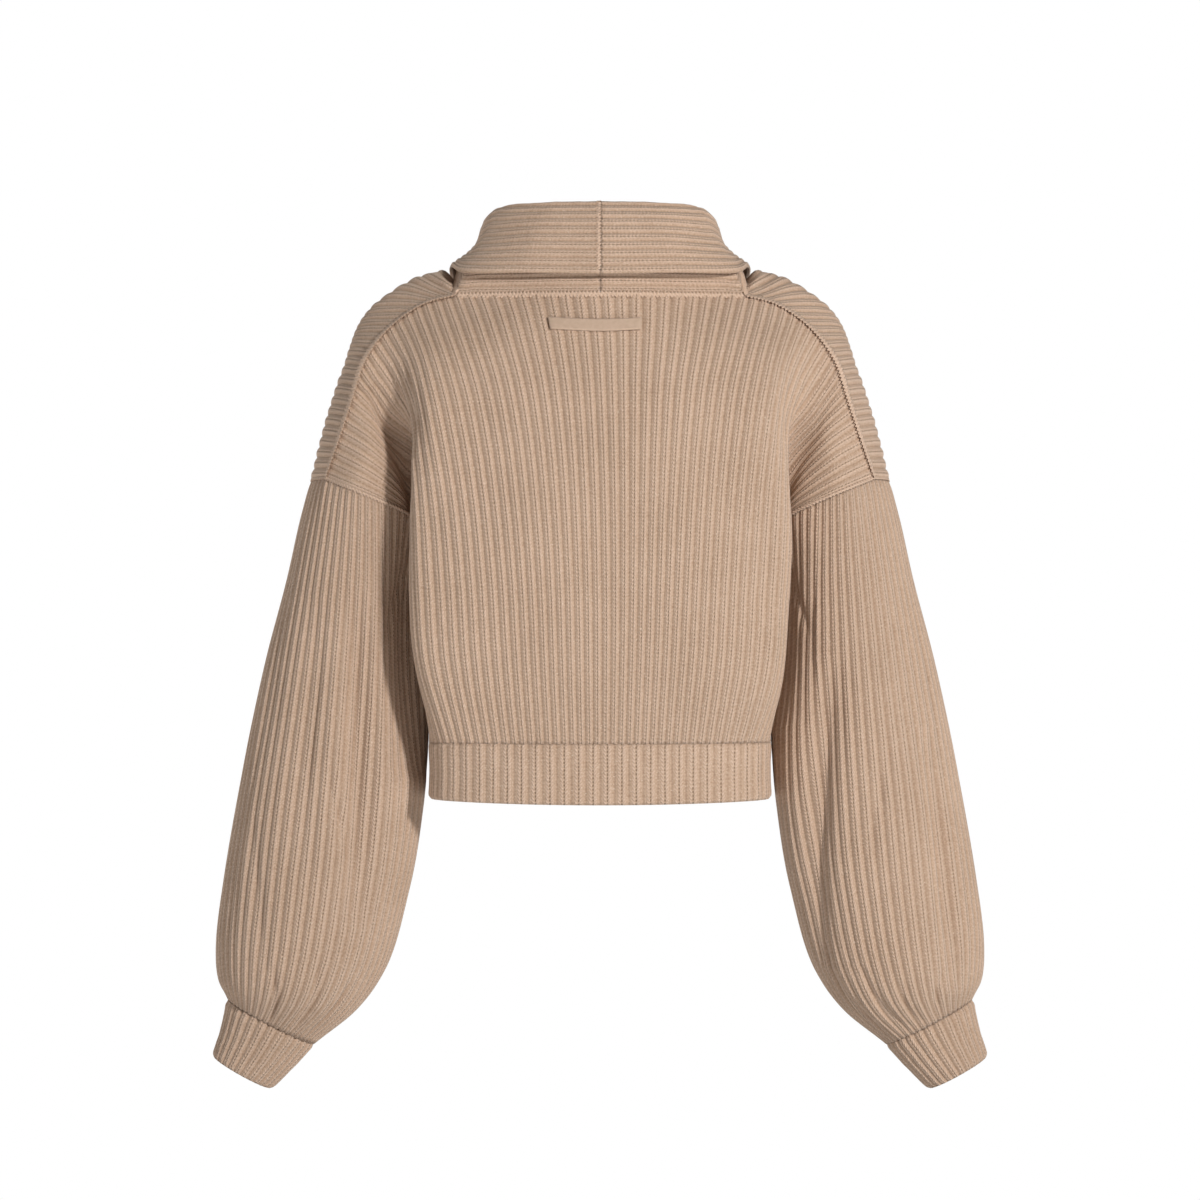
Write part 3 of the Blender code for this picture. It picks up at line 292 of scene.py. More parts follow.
SLEEVE_CREASES = {
    "left": (
        (0.28, 0.5, ((14.5, 0.5), (13.0, 0.58), (11.8, 0.66))),
        (0.35, 0.45, ((13.0, 0.84), (12.4, 0.92), (12.6, 0.99))),
        (0.3, 0.4, ((17.5, 0.86), (16.4, 0.93), (15.8, 0.99))),
        (0.26, 0.4, ((9.0, 0.87), (9.2, 0.93), (9.8, 0.99))),
        (0.22, 0.6, ((21.0, 0.6), (19.5, 0.74), (18.0, 0.88))),
        (0.3, 0.55, ((35.0, 0.8), (34.0, 0.9), (33.5, 0.99))),
        (0.28, 0.5, ((41.0, 0.84), (40.0, 0.92), (39.5, 0.99))),
        (0.2, 0.6, ((29.0, 0.3), (31.0, 0.46), (34.0, 0.6))),
        (0.22, 0.45, ((5.0, 0.06), (7.5, 0.14), (9.0, 0.24))),
    ),
    "right": (
        (0.35, 0.5, ((11.0, 0.84), (11.4, 0.92), (12.0, 0.99))),
        (0.36, 0.4, ((14.5, 0.88), (14.2, 0.94), (14.4, 0.99))),
        (0.3, 0.4, ((19.0, 0.88), (17.8, 0.94), (17.0, 0.99))),
        (0.28, 0.5, ((7.0, 0.8), (7.6, 0.9), (8.6, 0.98))),
        (0.22, 0.55, ((16.0, 0.46), (14.6, 0.56), (13.6, 0.66))),
        (0.2, 0.6, ((30.0, 0.26), (32.0, 0.42), (34.5, 0.58))),
        (0.3, 0.55, ((36.0, 0.8), (35.0, 0.9), (34.0, 0.99))),
        (0.26, 0.5, ((42.0, 0.85), (41.0, 0.92), (40.4, 0.99))),
        (0.22, 0.45, ((4.5, 0.05), (6.8, 0.13), (8.4, 0.22))),
    ),
}


# ---- curves and tables ----
def spline(knots, values, at):
    """Cubic pieces through values at knots; a knot's slope is its neighbours' parabola's."""
    knots = np.asarray(knots, float)
    values = np.asarray(values, float)
    at = np.clip(np.asarray(at, float), knots[0], knots[-1])
    step = np.diff(knots)[:, None]
    slope = np.diff(values, axis=0) / step
    inner = (slope[:-1] * step[1:] + slope[1:] * step[:-1]) / (step[1:] + step[:-1])
    slopes = np.concatenate([slope[:1], inner, slope[-1:]])
    piece = np.clip(np.searchsorted(knots, at, side="right") - 1, 0, len(step) - 1)
    h = step[piece]
    t = (at - knots[piece])[:, None] / h
    start = (2 * t**3 - 3 * t**2 + 1) * values[piece] + (t**3 - 2 * t**2 + t) * h * slopes[piece]
    end = (3 * t**2 - 2 * t**3) * values[piece + 1] + (t**3 - t**2) * h * slopes[piece + 1]
    return start + end


def curve(rows, at):
    """Points of a seam table (parameter, x, y, z) at the parameters given, any array shape."""
    rows = np.asarray(rows, float)
    at = np.asarray(at, float)
    return spline(rows[:, 0], rows[:, 1:], at.ravel()).reshape(at.shape + (3,))


def sheet(ribs, rows, table, u, v):
    """A table's smooth surface: the row splines weigh the heights and the rib splines the columns."""
    return np.einsum("...k,...m,mkc->...c", weights(ribs, u), weights(rows, v), table)


def weights(knots, at):
    """How much each knot counts at the parameters given, for a smooth curve through all knots."""
    at = np.asarray(at, float)
    return spline(knots, np.eye(len(knots)), at.ravel()).reshape(at.shape + (-1,))


def fade(distance, reach):
    """1 at distance 0, falling smoothly to 0 at reach."""
    return np.clip(1 - distance / reach, 0, 1) ** 2


def unit(vectors):
    return vectors / np.maximum(np.linalg.norm(vectors, axis=-1, keepdims=True), 1e-12)


def mirrored(points):
    return points * (-1.0, 1.0, 1.0)


def along_line(points):
    """Running length of a line of points, from 0."""
    return np.concatenate([[0], np.cumsum(np.linalg.norm(np.diff(points, axis=0), axis=-1))])


def read_line(at, knots, values):
    """Straight lines between the rows of values."""
    return np.stack([np.interp(at, knots, values[:, axis]) for axis in range(values.shape[1])], axis=-1)


# ---- sheets of the garment ----
def panel_edge(v, armhole_rows, underarm):
    """A panel's side edge: its armhole down to the underarm, then the side seam."""
    v = np.asarray(v, float)
    armhole_part = curve(armhole_rows, np.minimum(v, underarm))
    side_part = curve(SIDE_SEAM, np.clip((v - underarm) / (1 - underarm), 0, 1))
    return np.where((v < underarm)[..., None], armhole_part, side_part)


def back_edge(v):
    return panel_edge(v, BACK_ARMHOLE, BACK_UNDERARM)


def front_edge(v):
    return panel_edge(v, FRONT_ARMHOLE, FRONT_UNDERARM)


def front_top(u):
    """The front's top edge by rib: the neckline up to the neck corner, then the shoulder seam."""
    u = np.asarray(u, float)
    neckline = curve(NECKLINE, np.minimum(u, NECK_RIB))
    return np.where((u < NECK_RIB)[..., None], neckline, curve(SHOULDER_SEAM, np.maximum(u, NECK_RIB)))


def back_table():
    """The back's table with the other half added: x turns over, y and z are the same."""
    half = np.stack([BACK_X, BACK_Y, BACK_Z], axis=-1)
    ribs = np.array(BACK_RIBS)
    return np.concatenate([-ribs[:0:-1], ribs]), np.concatenate([mirrored(half[:, :0:-1]), half], axis=1)


BACK_ALL_RIBS, BACK_TABLE = back_table()
FRONT_ALL_ROWS = (0.0,) + FRONT_ROWS
FRONT_TABLE = np.concatenate([front_top(FRONT_RIBS)[None], np.stack([FRONT_X, FRONT_Y, FRONT_Z], axis=-1)])


def back_form(u, v):
    """The even back: its table, drawn onto the armhole, side and shoulder seams near those edges."""
    points = sheet(BACK_ALL_RIBS, BACK_ROWS, BACK_TABLE, u, v)
    side = np.where(u < 0, -1.0, 1.0)[..., None] * (1, 0, 0) + (0, 1, 1)
    rib = np.abs(u)
    edge = sheet(BACK_ALL_RIBS, BACK_ROWS, BACK_TABLE, np.full_like(u, EDGE_RIB), v)
    points += fade(EDGE_RIB - rib, EDGE_REACH[0])[..., None] * (back_edge(v) - edge) * side
    top = sheet(BACK_ALL_RIBS, BACK_ROWS, BACK_TABLE, rib, np.zeros_like(v))
    seam = curve(SHOULDER_SEAM, np.maximum(rib, NECK_RIB))
    neck = np.stack([top[..., 0], top[..., 1], np.full_like(v, NECK_Z)], axis=-1)
    target = np.where((rib >= NECK_RIB)[..., None], seam, neck)
    return points + fade(v, TOP_REACH)[..., None] * (target - top) * side


def back_sheet(u, v):
    """The back as it hangs: its ribs wander to one side, and stay put at the side edges."""
    drift = WANDER * (1 - fade(v, 0.8)) * (1 - (u / EDGE_RIB) ** 2) ** 2
    return back_form(u - drift, v)


def front_form(u, v):
    """The even left front: its table, drawn onto its top edge and its side edge."""
    points = sheet(FRONT_RIBS, FRONT_ALL_ROWS, FRONT_TABLE, u, v)
    edge = sheet(FRONT_RIBS, FRONT_ALL_ROWS, FRONT_TABLE, np.full_like(u, EDGE_RIB), v)
    points = points + fade(EDGE_RIB - u, EDGE_REACH[1])[..., None] * (front_edge(v) - edge)
    top = sheet(FRONT_RIBS, FRONT_ALL_ROWS, FRONT_TABLE, u, np.zeros_like(v))
    return points + fade(v, TOP_REACH)[..., None] * (front_top(u) - top)


def front_sheet(u, v):
    """The front as it hangs: from the seam its ribs lean out along the shoulder beside the neck corner."""
    inside = np.clip((u - FRONT_RIB) / (LEAN_RIB - FRONT_RIB), 0, 1)
    outside = np.clip((LEAN_END - u) / (LEAN_END - LEAN_RIB), 0, 1)
    share = np.minimum(inside, outside)
    return front_form(u + LEAN * (3 * share**2 - 2 * share**3) * (1 - fade(v, 0.13)), v)


def ring(row, angle):
    """An ellipse through a row's outer and inner points, with its own depth to the back and front."""
    outer = np.array([row[1], 0.0, row[2]])
    inner = np.array([row[3], 0.0, row[4]])
    turn = np.radians(angle)[..., None]
    middle = (outer + inner) / 2 + np.array([0.0, (row[5] + row[6]) / 2, 0.0])
    depth = np.array([0.0, (row[5] - row[6]) / 2, 0.0])
    return middle + np.cos(turn) * (outer - inner) / 2 + np.sin(turn) * depth


def armhole_v(angle):
    """Where the armhole loop meets an angle: v on the back panel and v on the front panel."""
    back = np.array(BACK_ARMHOLE_ANGLE)
    front = np.array(FRONT_ARMHOLE_ANGLE)[::-1]
    return np.interp(angle, back[:, 1], back[:, 0]), np.interp(angle, front[:, 1], front[:, 0])


def armhole(angle):
    """The armhole loop by angle."""
    on_back, on_front = armhole_v(angle)
    tip = BACK_ARMHOLE_ANGLE[0][1]
    return np.where((angle > tip)[..., None], back_edge(on_back), front_edge(on_front))


def turned(angle):
    """The same angle between -180 and 180 degrees."""
    return (np.asarray(angle, float) + 180.0) % 360.0 - 180.0


def sleeve_angle(rib, share):
    """A sleeve rib's angle: ribs are even round the ring, and turn slowly on their way down."""
    turn = SLEEVE_TWIST * np.clip(share, 0, 1) ** 1.2 * (share > 0)
    return turned(180.0 - 360.0 * rib / SLEEVE_RIBS + turn)


def sleeve_middles():
    """The middle of the armhole loop and of each ring."""
    loop = armhole(np.linspace(-179.0, 180.0, 73)).mean(axis=0)
    rows = np.array(SLEEVE_RINGS)
    rings = (rows[:, (1, 5, 2)] + rows[:, (3, 6, 4)]) / 2
    return np.concatenate([loop[None], rings])


def sleeve_sheet(rib, share, folds=()):
    """The left sleeve: splines down through the armhole loop and the rings, pressed in along folds."""
    angle = sleeve_angle(rib, share)
    shares = (0.0,) + tuple(row[0] for row in SLEEVE_RINGS)
    rings = [armhole(angle)] + [ring(row, angle) for row in SLEEVE_RINGS]
    down = weights(shares, share)
    points = np.einsum("...k,k...c->...c", down, np.array(rings))
    middle = np.einsum("...k,kc->...c", down, sleeve_middles())
    for top, top_angle, foot, foot_angle, depth, width in folds:
        along = np.clip((share - top) / (foot - top), 0, 1)
        off = turned(angle - (top_angle + (foot_angle - top_angle) * along)) / width
        press = depth * np.sin(np.pi * along) ** 0.7 * np.exp(-off**2)
        points = points - press[..., None] * unit(points - middle)
    return points


def cuff_sheet(rib, share):
    """The left cuff: splines down through its rings."""
    angle = turned(180.0 - 360.0 * rib / CUFF_RIBS)
    down = weights([row[0] for row in CUFF_RINGS], share)
    return np.einsum("...k,k...c->...c", down, np.array([ring(row, angle) for row in CUFF_RINGS]))


def hem_ring(count):
    """The hem's outer line with ribs evenly apart, from one end of the waistband round to the other."""
    low = np.ones(81)
    back = back_form(np.linspace(0, EDGE_RIB, 81), low)
    front = front_sheet(np.linspace(EDGE_RIB, FRONT_RIB, 81), low)
    end = np.array([[FRONT_OPENING / 2, front[-1, 1] - 0.1, HEM_Z]])
    half = np.concatenate([back, front[1:], end])
    line = np.concatenate([half[::-1], mirrored(half[1:])])
    along = along_line(line)
    return read_line(np.linspace(0, along[-1], count), along, line)


# ---- which way is out, and how thick the knit is ----
def facing(points, closed=False, sense=1):
    """Unit directions out of a grid of points: the mean of the faces that meet at each point."""
    if closed:
        points = np.concatenate([points[-1:], points, points[:1]])
    one = points[1:, 1:] - points[:-1, :-1]
    other = points[:-1, 1:] - points[1:, :-1]
    face = np.pad(unit(np.cross(one, other)) * sense, ((1, 1), (1, 1), (0, 0)))
    mean = unit(face[:-1, :-1] + face[1:, :-1] + face[:-1, 1:] + face[1:, 1:])
    return mean[1:-1] if closed else mean


def rib_pitch(points):
    """Distance from rib to rib, square to the ribs, at each point of a grid."""
    across = np.gradient(points, axis=0) * FINE
    down = unit(np.gradient(points, axis=1))
    return np.linalg.norm(np.cross(across, down), axis=-1)


def round_rib(ribs):
    """A rib's section: half a sine wave to the power 0.8, 0 in the furrows (whole ribs), 1 on its crown."""
    return np.sin(np.pi * (ribs % 1.0)) ** 0.8


def unevenness(ribs, down):
    """Slow waves between -1 and 1, by rib and by place down it, as hand-made knit has."""
    first = np.sin(1.9 * np.floor(ribs) + 7.1 * down + 0.6)
    second = np.sin(0.53 * ribs - 17.0 * down + 2.1)
    third = np.sin(3.7 * np.floor(ribs) + 31.0 * down)
    return (first + second + 0.6 * third) / 2.6


def rib_rise(ribs, down, points, relief, closed=False):
    """Height of the knit over its furrows: less where the ribs are bunched, and a little uneven."""
    if closed:
        pitch = rib_pitch(np.concatenate([points[-1:], points, points[:1]]))[1:-1]
    else:
        pitch = rib_pitch(points)
    full = relief * RIB_HEIGHT * np.clip(pitch / PLAIN_PITCH, 0.25, 1.1)
    return full * round_rib(ribs) * (1 + UNEVEN * unevenness(ribs, down))


def edge_distance(points):
    """Distance of each grid point from the top edge, down its own column."""
    step = np.linalg.norm(np.diff(points, axis=1), axis=-1)
    return np.cumsum(np.pad(step, ((0, 0), (1, 0))), axis=1)


def stitches(points):
    """Stitches counted up from the lower edge along each rib."""
    return edge_distance(points[:, ::-1])[:, ::-1] / STITCH


def press_creases(points, out, creases, line_of):
    """Presses soft troughs, or ridges where the depth is negative, along lines drawn on the sheet."""
    flat = points.reshape(-1, 3)
    total = np.zeros(len(flat))
    for depth, width, marks in creases:
        marks = np.array(marks)
        knots = np.linspace(0, 1, len(marks))
        at = np.linspace(0, 1, 40)
        line = line_of(*spline(knots, marks, at).T)
        near = np.full(len(flat), 1e9)
        where = np.zeros(len(flat))
        for place, point in zip(at, line):
            distance = np.linalg.norm(flat - point, axis=-1)
            closer = distance < near
            near = np.where(closer, distance, near)
            where = np.where(closer, place, where)
        taper = np.clip(np.sin(np.pi * where), 0.0, 1) ** 0.6
        total += depth * np.exp(-(near / width) ** 2) * taper
    return points - total.reshape(points.shape[:-1])[..., None] * out


# ---- from sheets to knitted walls ----
def cells_of(across, down):
    """The first corner of every cell of a grid, as two flat lists of places."""
    return (places.ravel() for places in np.meshgrid(np.arange(across), np.arange(down), indexing="ij"))


def knitted_wall(name, outer, inner, ribs, courses, closed=False):
    """A closed wall between a fine outer grid and a plainer inner one, with ribs and stitches as its map.

    Both grids are [across, down]. Where the inner one has fewer columns, it takes every so many of
    the outer's, and fans of triangles join the two along the top and the foot.
    """
    across, down = outer.shape[:2]
    every = round(across / inner.shape[0]) if inner.shape[0] < across else 1
    inner_count = inner.shape[0]
    points = np.concatenate([outer.reshape(-1, 3), inner.reshape(-1, 3)]) * CM

    def out_at(i, j):
        return (i % across) * down + j

    def in_at(i, j):
        return across * down + (i % inner_count) * down + j

    def mark(i, j):
        """Ribs and stitches at a grid place, counting on past the closing line of a tube."""
        turn = (i >= across) if closed else np.zeros_like(i, bool)
        whole = ribs[-1, 0] + 1.0 / FINE
        return np.stack([ribs[i % across, 0] + turn * whole, courses[i % across, j]], axis=-1)

    cells = across if closed else across - 1
    i, j = cells_of(cells, down - 1)
    corners = ((i, j), (i, j + 1), (i + 1, j + 1), (i + 1, j))
    groups = [(np.stack([out_at(*c) for c in corners], -1), np.stack([mark(*c) for c in corners], -2))]
    steps = inner_count if closed else inner_count - 1
    i, j = cells_of(steps, down - 1)
    corners = ((i, j), (i + 1, j), (i + 1, j + 1), (i, j + 1))
    groups.append((
        np.stack([in_at(*c) for c in corners], -1),
        np.stack([mark(c[0] * every, c[1]) for c in corners], -2),
    ))
    i = np.arange(cells)
    nearest = (i + every // 2) // every
    k = np.arange(steps)
    middles = np.minimum(k * every + every - every // 2, cells)
    for row, turn in ((0, 1), (down - 1, -1)):
        fan = np.stack([out_at(i, row), out_at(i + 1, row), in_at(nearest, row)], -1)
        step = np.stack([out_at(middles, row), in_at(k + 1, row), in_at(k, row)], -1)
        step_columns = (middles, (k + 1) * every, k * every)
        for faces, columns in ((fan, (i, i + 1, nearest * every)), (step, step_columns)):
            marks = np.stack([mark(c, c * 0 + row) for c in columns], -2)
            groups.append((faces[:, ::turn], marks[:, ::turn]))
    if not closed:
        j = np.arange(down - 1)
        for last, inner_last, order in ((0, 0, (0, 1, 2, 3)), (cells, inner_count - 1, (0, 3, 2, 1))):
            corners = (out_at(last, j), in_at(inner_last, j), in_at(inner_last, j + 1), out_at(last, j + 1))
            marks = [mark(0 * j + last, j + (n > 1)) for n in order]
            groups.append((np.stack([corners[n] for n in order], -1), np.stack(marks, -2)))
    return make_mesh(name, points, groups)


def make_mesh(name, points, groups):
    """A smooth mesh from groups of faces and their map; turned as a whole where it would face inward."""
    volume = 0.0
    for faces, _ in groups:
        for k in range(1, faces.shape[1] - 1):
            a, b, c = (points[faces[:, n]] for n in (0, k, k + 1))
            volume += np.sum(a * np.cross(b, c))
    turn = -1 if volume < 0 else 1
    mesh = bpy.data.meshes.new(name)
    mesh.from_pydata(points.tolist(), [], [f for faces, _ in groups for f in faces[:, ::turn].tolist()])
    layer = mesh.uv_layers.new(name=MAP_NAME)
    marks = np.concatenate([m[:, ::turn].reshape(-1, 2) for _, m in groups])
    layer.data.foreach_set("uv", marks.astype(np.float32).ravel())
    mesh.polygons.foreach_set("use_smooth", np.ones(len(mesh.polygons), bool))
    mesh.update()
    piece = bpy.data.objects.new(name, mesh)
    bpy.context.scene.collection.objects.link(piece)
    return piece


def dress(piece, material, slot, *nodes):
    """Gives a piece its material and its body, and hides the solids that it stands for. The slot is not
    used.
    """
    piece.data.materials.append(material)
    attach(piece, "root")
    if nodes:
        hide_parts(*nodes)
    return piece


def both_sides(name, outer, inner, ribs, courses, material, closed=False):
    """A left piece's wall and, mirrored, the right one's."""
    pieces = []
    for side, turn in (("left", lambda grid: grid), ("right", mirrored)):
        wall = knitted_wall(f"knit_{name}_{side}", turn(outer), turn(inner), ribs, courses, closed)
        pieces.append(dress(wall, material, "knit_" + name, f"{name}_{side}"))
    return pieces


def panel_grid(ribs, rows):
    """A rib and a share down for every point of a grid."""
    return np.meshgrid(np.asarray(ribs, float), np.asarray(rows, float), indexing="ij")


def panel_rows(underarm):
    """Shares down a panel: even above the underarm and even below it."""
    above, below = PANEL_ROWS
    return np.concatenate([np.linspace(0, underarm, above + 1), np.linspace(underarm, 1, below + 1)[1:]])


def seam_sink(points, piece):
    """How far a piece draws in below its top seam."""
    deep, reach = SEAM_SINK[piece]
    return deep * np.exp(-(edge_distance(points) / reach) ** 2)


# ---- the knit's material: arithmetic on sockets ----
class Wire:
    """A socket of a material's nodes. Arithmetic on wires and numbers adds Math nodes."""

    def __init__(self, paint, socket):
        self.paint = paint
        self.socket = socket

    def __add__(self, other):
        return self.paint.math("ADD", self, other)

    __radd__ = __add__

    def __sub__(self, other):
        return self.paint.math("SUBTRACT", self, other)

    def __rsub__(self, other):
        return self.paint.math("SUBTRACT", other, self)

    def __mul__(self, other):
        return self.paint.math("MULTIPLY", self, other)

    __rmul__ = __mul__

    def __truediv__(self, other):
        return self.paint.math("DIVIDE", self, other)


class Paint:
    """A material under construction: its nodes, and the shader that they feed."""

    def __init__(self, name):
        self.material = bpy.data.materials.new(name)
        self.material.use_nodes = True
        self.tree = self.material.node_tree
        self.shader = self.tree.nodes["Principled BSDF"]

    def node(self, kind, settings, sockets, output=0):
        """Adds a node: its settings first, then the values or wires of its sockets."""
        made = self.tree.nodes.new(kind)
        for name, value in settings.items():
            setattr(made, name, value)
        for name, value in sockets.items():
            self.feed(made.inputs[name], value)
        return Wire(self, made.outputs[output])

    def feed(self, socket, value):
        if isinstance(value, Wire):
            self.tree.links.new(value.socket, socket)
        else:
            socket.default_value = value

    def math(self, operation, *values, clamp=False):
        settings = {"operation": operation, "use_clamp": clamp}
        return self.node("ShaderNodeMath", settings, dict(enumerate(values)))

    def noise(self, place, scale, detail=2.0, rough=0.5):
        sockets = {"Vector": place, "Scale": scale, "Detail": detail, "Roughness": rough}
        return self.node("ShaderNodeTexNoise", {}, sockets)

    def between(self, factor, one, other):
        """A colour between two, by a factor from 0 to 1."""
        return self.node("ShaderNodeMix", {"data_type": "RGBA"}, {0: factor, 6: one, 7: other}, 2)

    def clamped(self, value):
        return self.math("MULTIPLY", value, 1.0, clamp=True)

    def map_places(self):
        """The place on the object in metres, and the ribs and stitches of the map."""
        place = self.node("ShaderNodeTexCoord", {}, {}, 3)
        marks = self.node("ShaderNodeUVMap", {"uv_map": MAP_NAME}, {})
        split = self.node("ShaderNodeSeparateXYZ", {}, {0: marks})
        return place, split, Wire(self, split.socket.node.outputs[1])

    def finish(self, **sockets):
        """Feeds the shader's sockets, named with underscores for blanks, and gives the material."""
        for name, value in sockets.items():
            self.feed(self.shader.inputs[name.replace("_", " ")], value)
        return self.material


def sine_wave(paint, turns):
    """A wave between 0 and 1 that starts full at whole turns."""
    return paint.math("COSINE", turns * (2 * math.pi)) * 0.5 + 0.5


def hump(paint, value, middle, width):
    """1 where a value is at the middle, falling to 0 a width away, as a smooth hump."""
    away = paint.math("ABSOLUTE", value - middle) / width
    return paint.math("SUBTRACT", 1.0, away * away, clamp=True)


# camel shades of the knit: besides the yarn's marl they carry painted shade, the deep one in the furrows
# and eyes, the light one painted light on the raised crowns and legs
CAMEL_LIGHT = (0.700, 0.515, 0.395)
CAMEL = (0.560, 0.392, 0.282)
CAMEL_DEEP = (0.330, 0.212, 0.136)
FLECK_PALE = (0.790, 0.640, 0.510, 1.0)
FLECK_BROWN = (0.410, 0.262, 0.165, 1.0)
# tape shades: the deep one is painted shade between the threads, the pale one the raised thread crossings
TAPE_DEEP = (0.47, 0.33, 0.235, 1.0)
TAPE_PALE = (0.64, 0.475, 0.355, 1.0)
WOBBLE_SCALE = 260.0        # turns of noise a metre: uneven stitches, fibres, marled yarn, slow patches
FIBRE_SCALE = 1500.0
MARL_SCALE = 520.0
PATCH_SCALE = 22.0
LEG_SLOPE = 3.4             # stitches by which a leg of the V climbs over the width of a rib


def knit_material(name, tone=1.0):
    """Half-cardigan rib in marled wool, drawn on the map of ribs and stitches.

    Each rib is a column of V stitches: two slanting legs beside a line of small eyes, and
    between ribs a furrow with a faint ladder of crossing yarn. Besides the yarn's marl and flecks,
    the colour holds painted shade: darker in the furrows and eyes, lighter on the raised crowns,
    legs and ladder.
    """
    paint = Paint(name)
    place, rib, course = paint.map_places()
    wobble = paint.noise(place, WOBBLE_SCALE, 1.0) - 0.5
    course = course + wobble * 0.35
    across = paint.math("FRACT", rib) - 0.5 + wobble * 0.05
    away = paint.math("ABSOLUTE", across)
    leg_turn = course - away * LEG_SLOPE
    legs = hump(paint, away, 0.155, 0.15) * (sine_wave(paint, leg_turn) * 0.75 + 0.25)
    eyes = hump(paint, away, 0.0, 0.075) * (1.0 - sine_wave(paint, course + 0.35))
    furrow = hump(paint, away, 0.5, 0.13)
    ladder = hump(paint, away, 0.42, 0.10) * sine_wave(paint, course + 0.2)
    crown = 1.0 - furrow
    fibre = paint.noise(place, FIBRE_SCALE, 2.0, 0.6)
    marl = paint.noise(place, MARL_SCALE, 2.0, 0.65)
    slow = paint.noise(place, PATCH_SCALE, 2.0)
    # the shares of each feature in the surface's height, and in its colour's lightness: the relief's
    # features paint shade, darker in the furrows and eyes and lighter on the raised crowns, legs and
    # ladder; the slow patches and the marl are the yarn's own tone
    height = crown * 0.40 + legs * 0.85 - eyes * 0.90 + ladder * 0.30 + fibre * 0.25
    light = crown * 0.22 + legs * 0.52 - eyes * 0.70 + ladder * 0.14 + (slow - 0.5) * 0.30
    light = paint.clamped(light + (marl - 0.5) * 0.70 + 0.22)
    shades = (CAMEL_DEEP, CAMEL, CAMEL_LIGHT)
    deep, plain, pale = (tuple(tone * c for c in shade) + (1.0,) for shade in shades)
    low = paint.math("MULTIPLY", light, 2.0, clamp=True)
    high = paint.math("SUBTRACT", light * 2.0, 1.0, clamp=True)
    colour = paint.between(high, paint.between(low, deep, plain), pale)
    pale_fleck = paint.math("MULTIPLY", paint.noise(place, 900.0, 1.0) - 0.60, 4.0, clamp=True)
    brown_fleck = paint.math("MULTIPLY", 0.38 - paint.noise(place, 700.0, 1.0), 4.0, clamp=True)
    colour = paint.between(pale_fleck, colour, FLECK_PALE)
    colour = paint.between(brown_fleck, colour, FLECK_BROWN)
    bump = paint.node("ShaderNodeBump", {}, {"Strength": 0.80, "Distance": 0.0011, "Height": height})
    return paint.finish(
        Base_Color=colour, Normal=bump, Roughness=0.92, Specular_IOR_Level=0.18,
        Sheen_Weight=0.30, Sheen_Roughness=0.55, Sheen_Tint=(0.95, 0.86, 0.76, 1.0),
    )


def tape_material(name):
    """Close plain tape: a fine even weave on the map, a shade paler than the knit."""
    paint = Paint(name)
    place, across, down = paint.map_places()
    thread = sine_wave(paint, across * 16.0) * sine_wave(paint, down * 5.0)
    slow = paint.noise(place, 300.0, 2.0)
    # the colour is painted paler on the raised thread crossings and deeper between them, as painted shade
    # of the weave; the slow patches are the tape's own tone
    colour = paint.between(paint.clamped(thread * 0.5 + slow * 0.7), TAPE_DEEP, TAPE_PALE)
    bump = paint.node("ShaderNodeBump", {}, {"Strength": 0.35, "Distance": 0.0004, "Height": thread})
    return paint.finish(Base_Color=colour, Normal=bump, Roughness=0.85, Sheen_Weight=0.15)


# ---- the garment's pieces ----
WAVE_STEP = 6.2832          # ribs to which a tube's waves are rounded, so that they close


def slow_waves(ribs, shares, size=0.05):
    """A gentle unevenness of the whole cloth, in centimetres."""
    return size * (np.sin(0.41 * ribs + 9.0 * shares) + np.sin(0.23 * ribs - 15.0 * shares + 1.0))


def rib_ends(grid):
    """The columns of a grid that lie in the furrows: one for each rib, and the last one."""
    return grid[::FINE]


def between_ends(share, top, foot):
    """1 along a piece, falling to 0 over the shares given at its top and at its foot."""
    return (1 - fade(share, top)) * (1 - fade(1 - share, foot))


def fine_ribs(first):
    """The columns of a panel from its first rib to its side edge."""
    return np.arange(FINE * first, FINE * EDGE_RIB + 1) / FINE


def body_panel(form, first_rib, underarm, creases, relief, sense, phase):
    """A panel's outer and inner grids, its ribs and its stitches."""
    u, v = panel_grid(fine_ribs(first_rib), panel_rows(underarm))
    points = form(u, v)
    out = facing(points, sense=sense)
    points = points + (slow_waves(u + phase, v) * between_ends(v, 0.1, 0.1))[..., None] * out
    points = press_creases(points, out, creases, form)
    out = facing(points, sense=sense)
    sink = seam_sink(points, "panel") * (np.abs(u) >= NECK_RIB)
    outer = points + (rib_rise(u, v, points, relief) - HALF_RIB - sink)[..., None] * out
    return outer, rib_ends(points - WALL * out), u, stitches(points)


def make_back(material):
    grids = body_panel(back_sheet, -EDGE_RIB, BACK_UNDERARM, BACK_CREASES, BACK_RELIEF, 1, 0)
    return dress(knitted_wall("knit_back", *grids), material, "knit_back", "back")


def make_fronts(material):
    grids = body_panel(front_sheet, FRONT_RIB, FRONT_UNDERARM, FRONT_CREASES, FRONT_RELIEF, -1, 3)
    return both_sides("front", *grids, material)


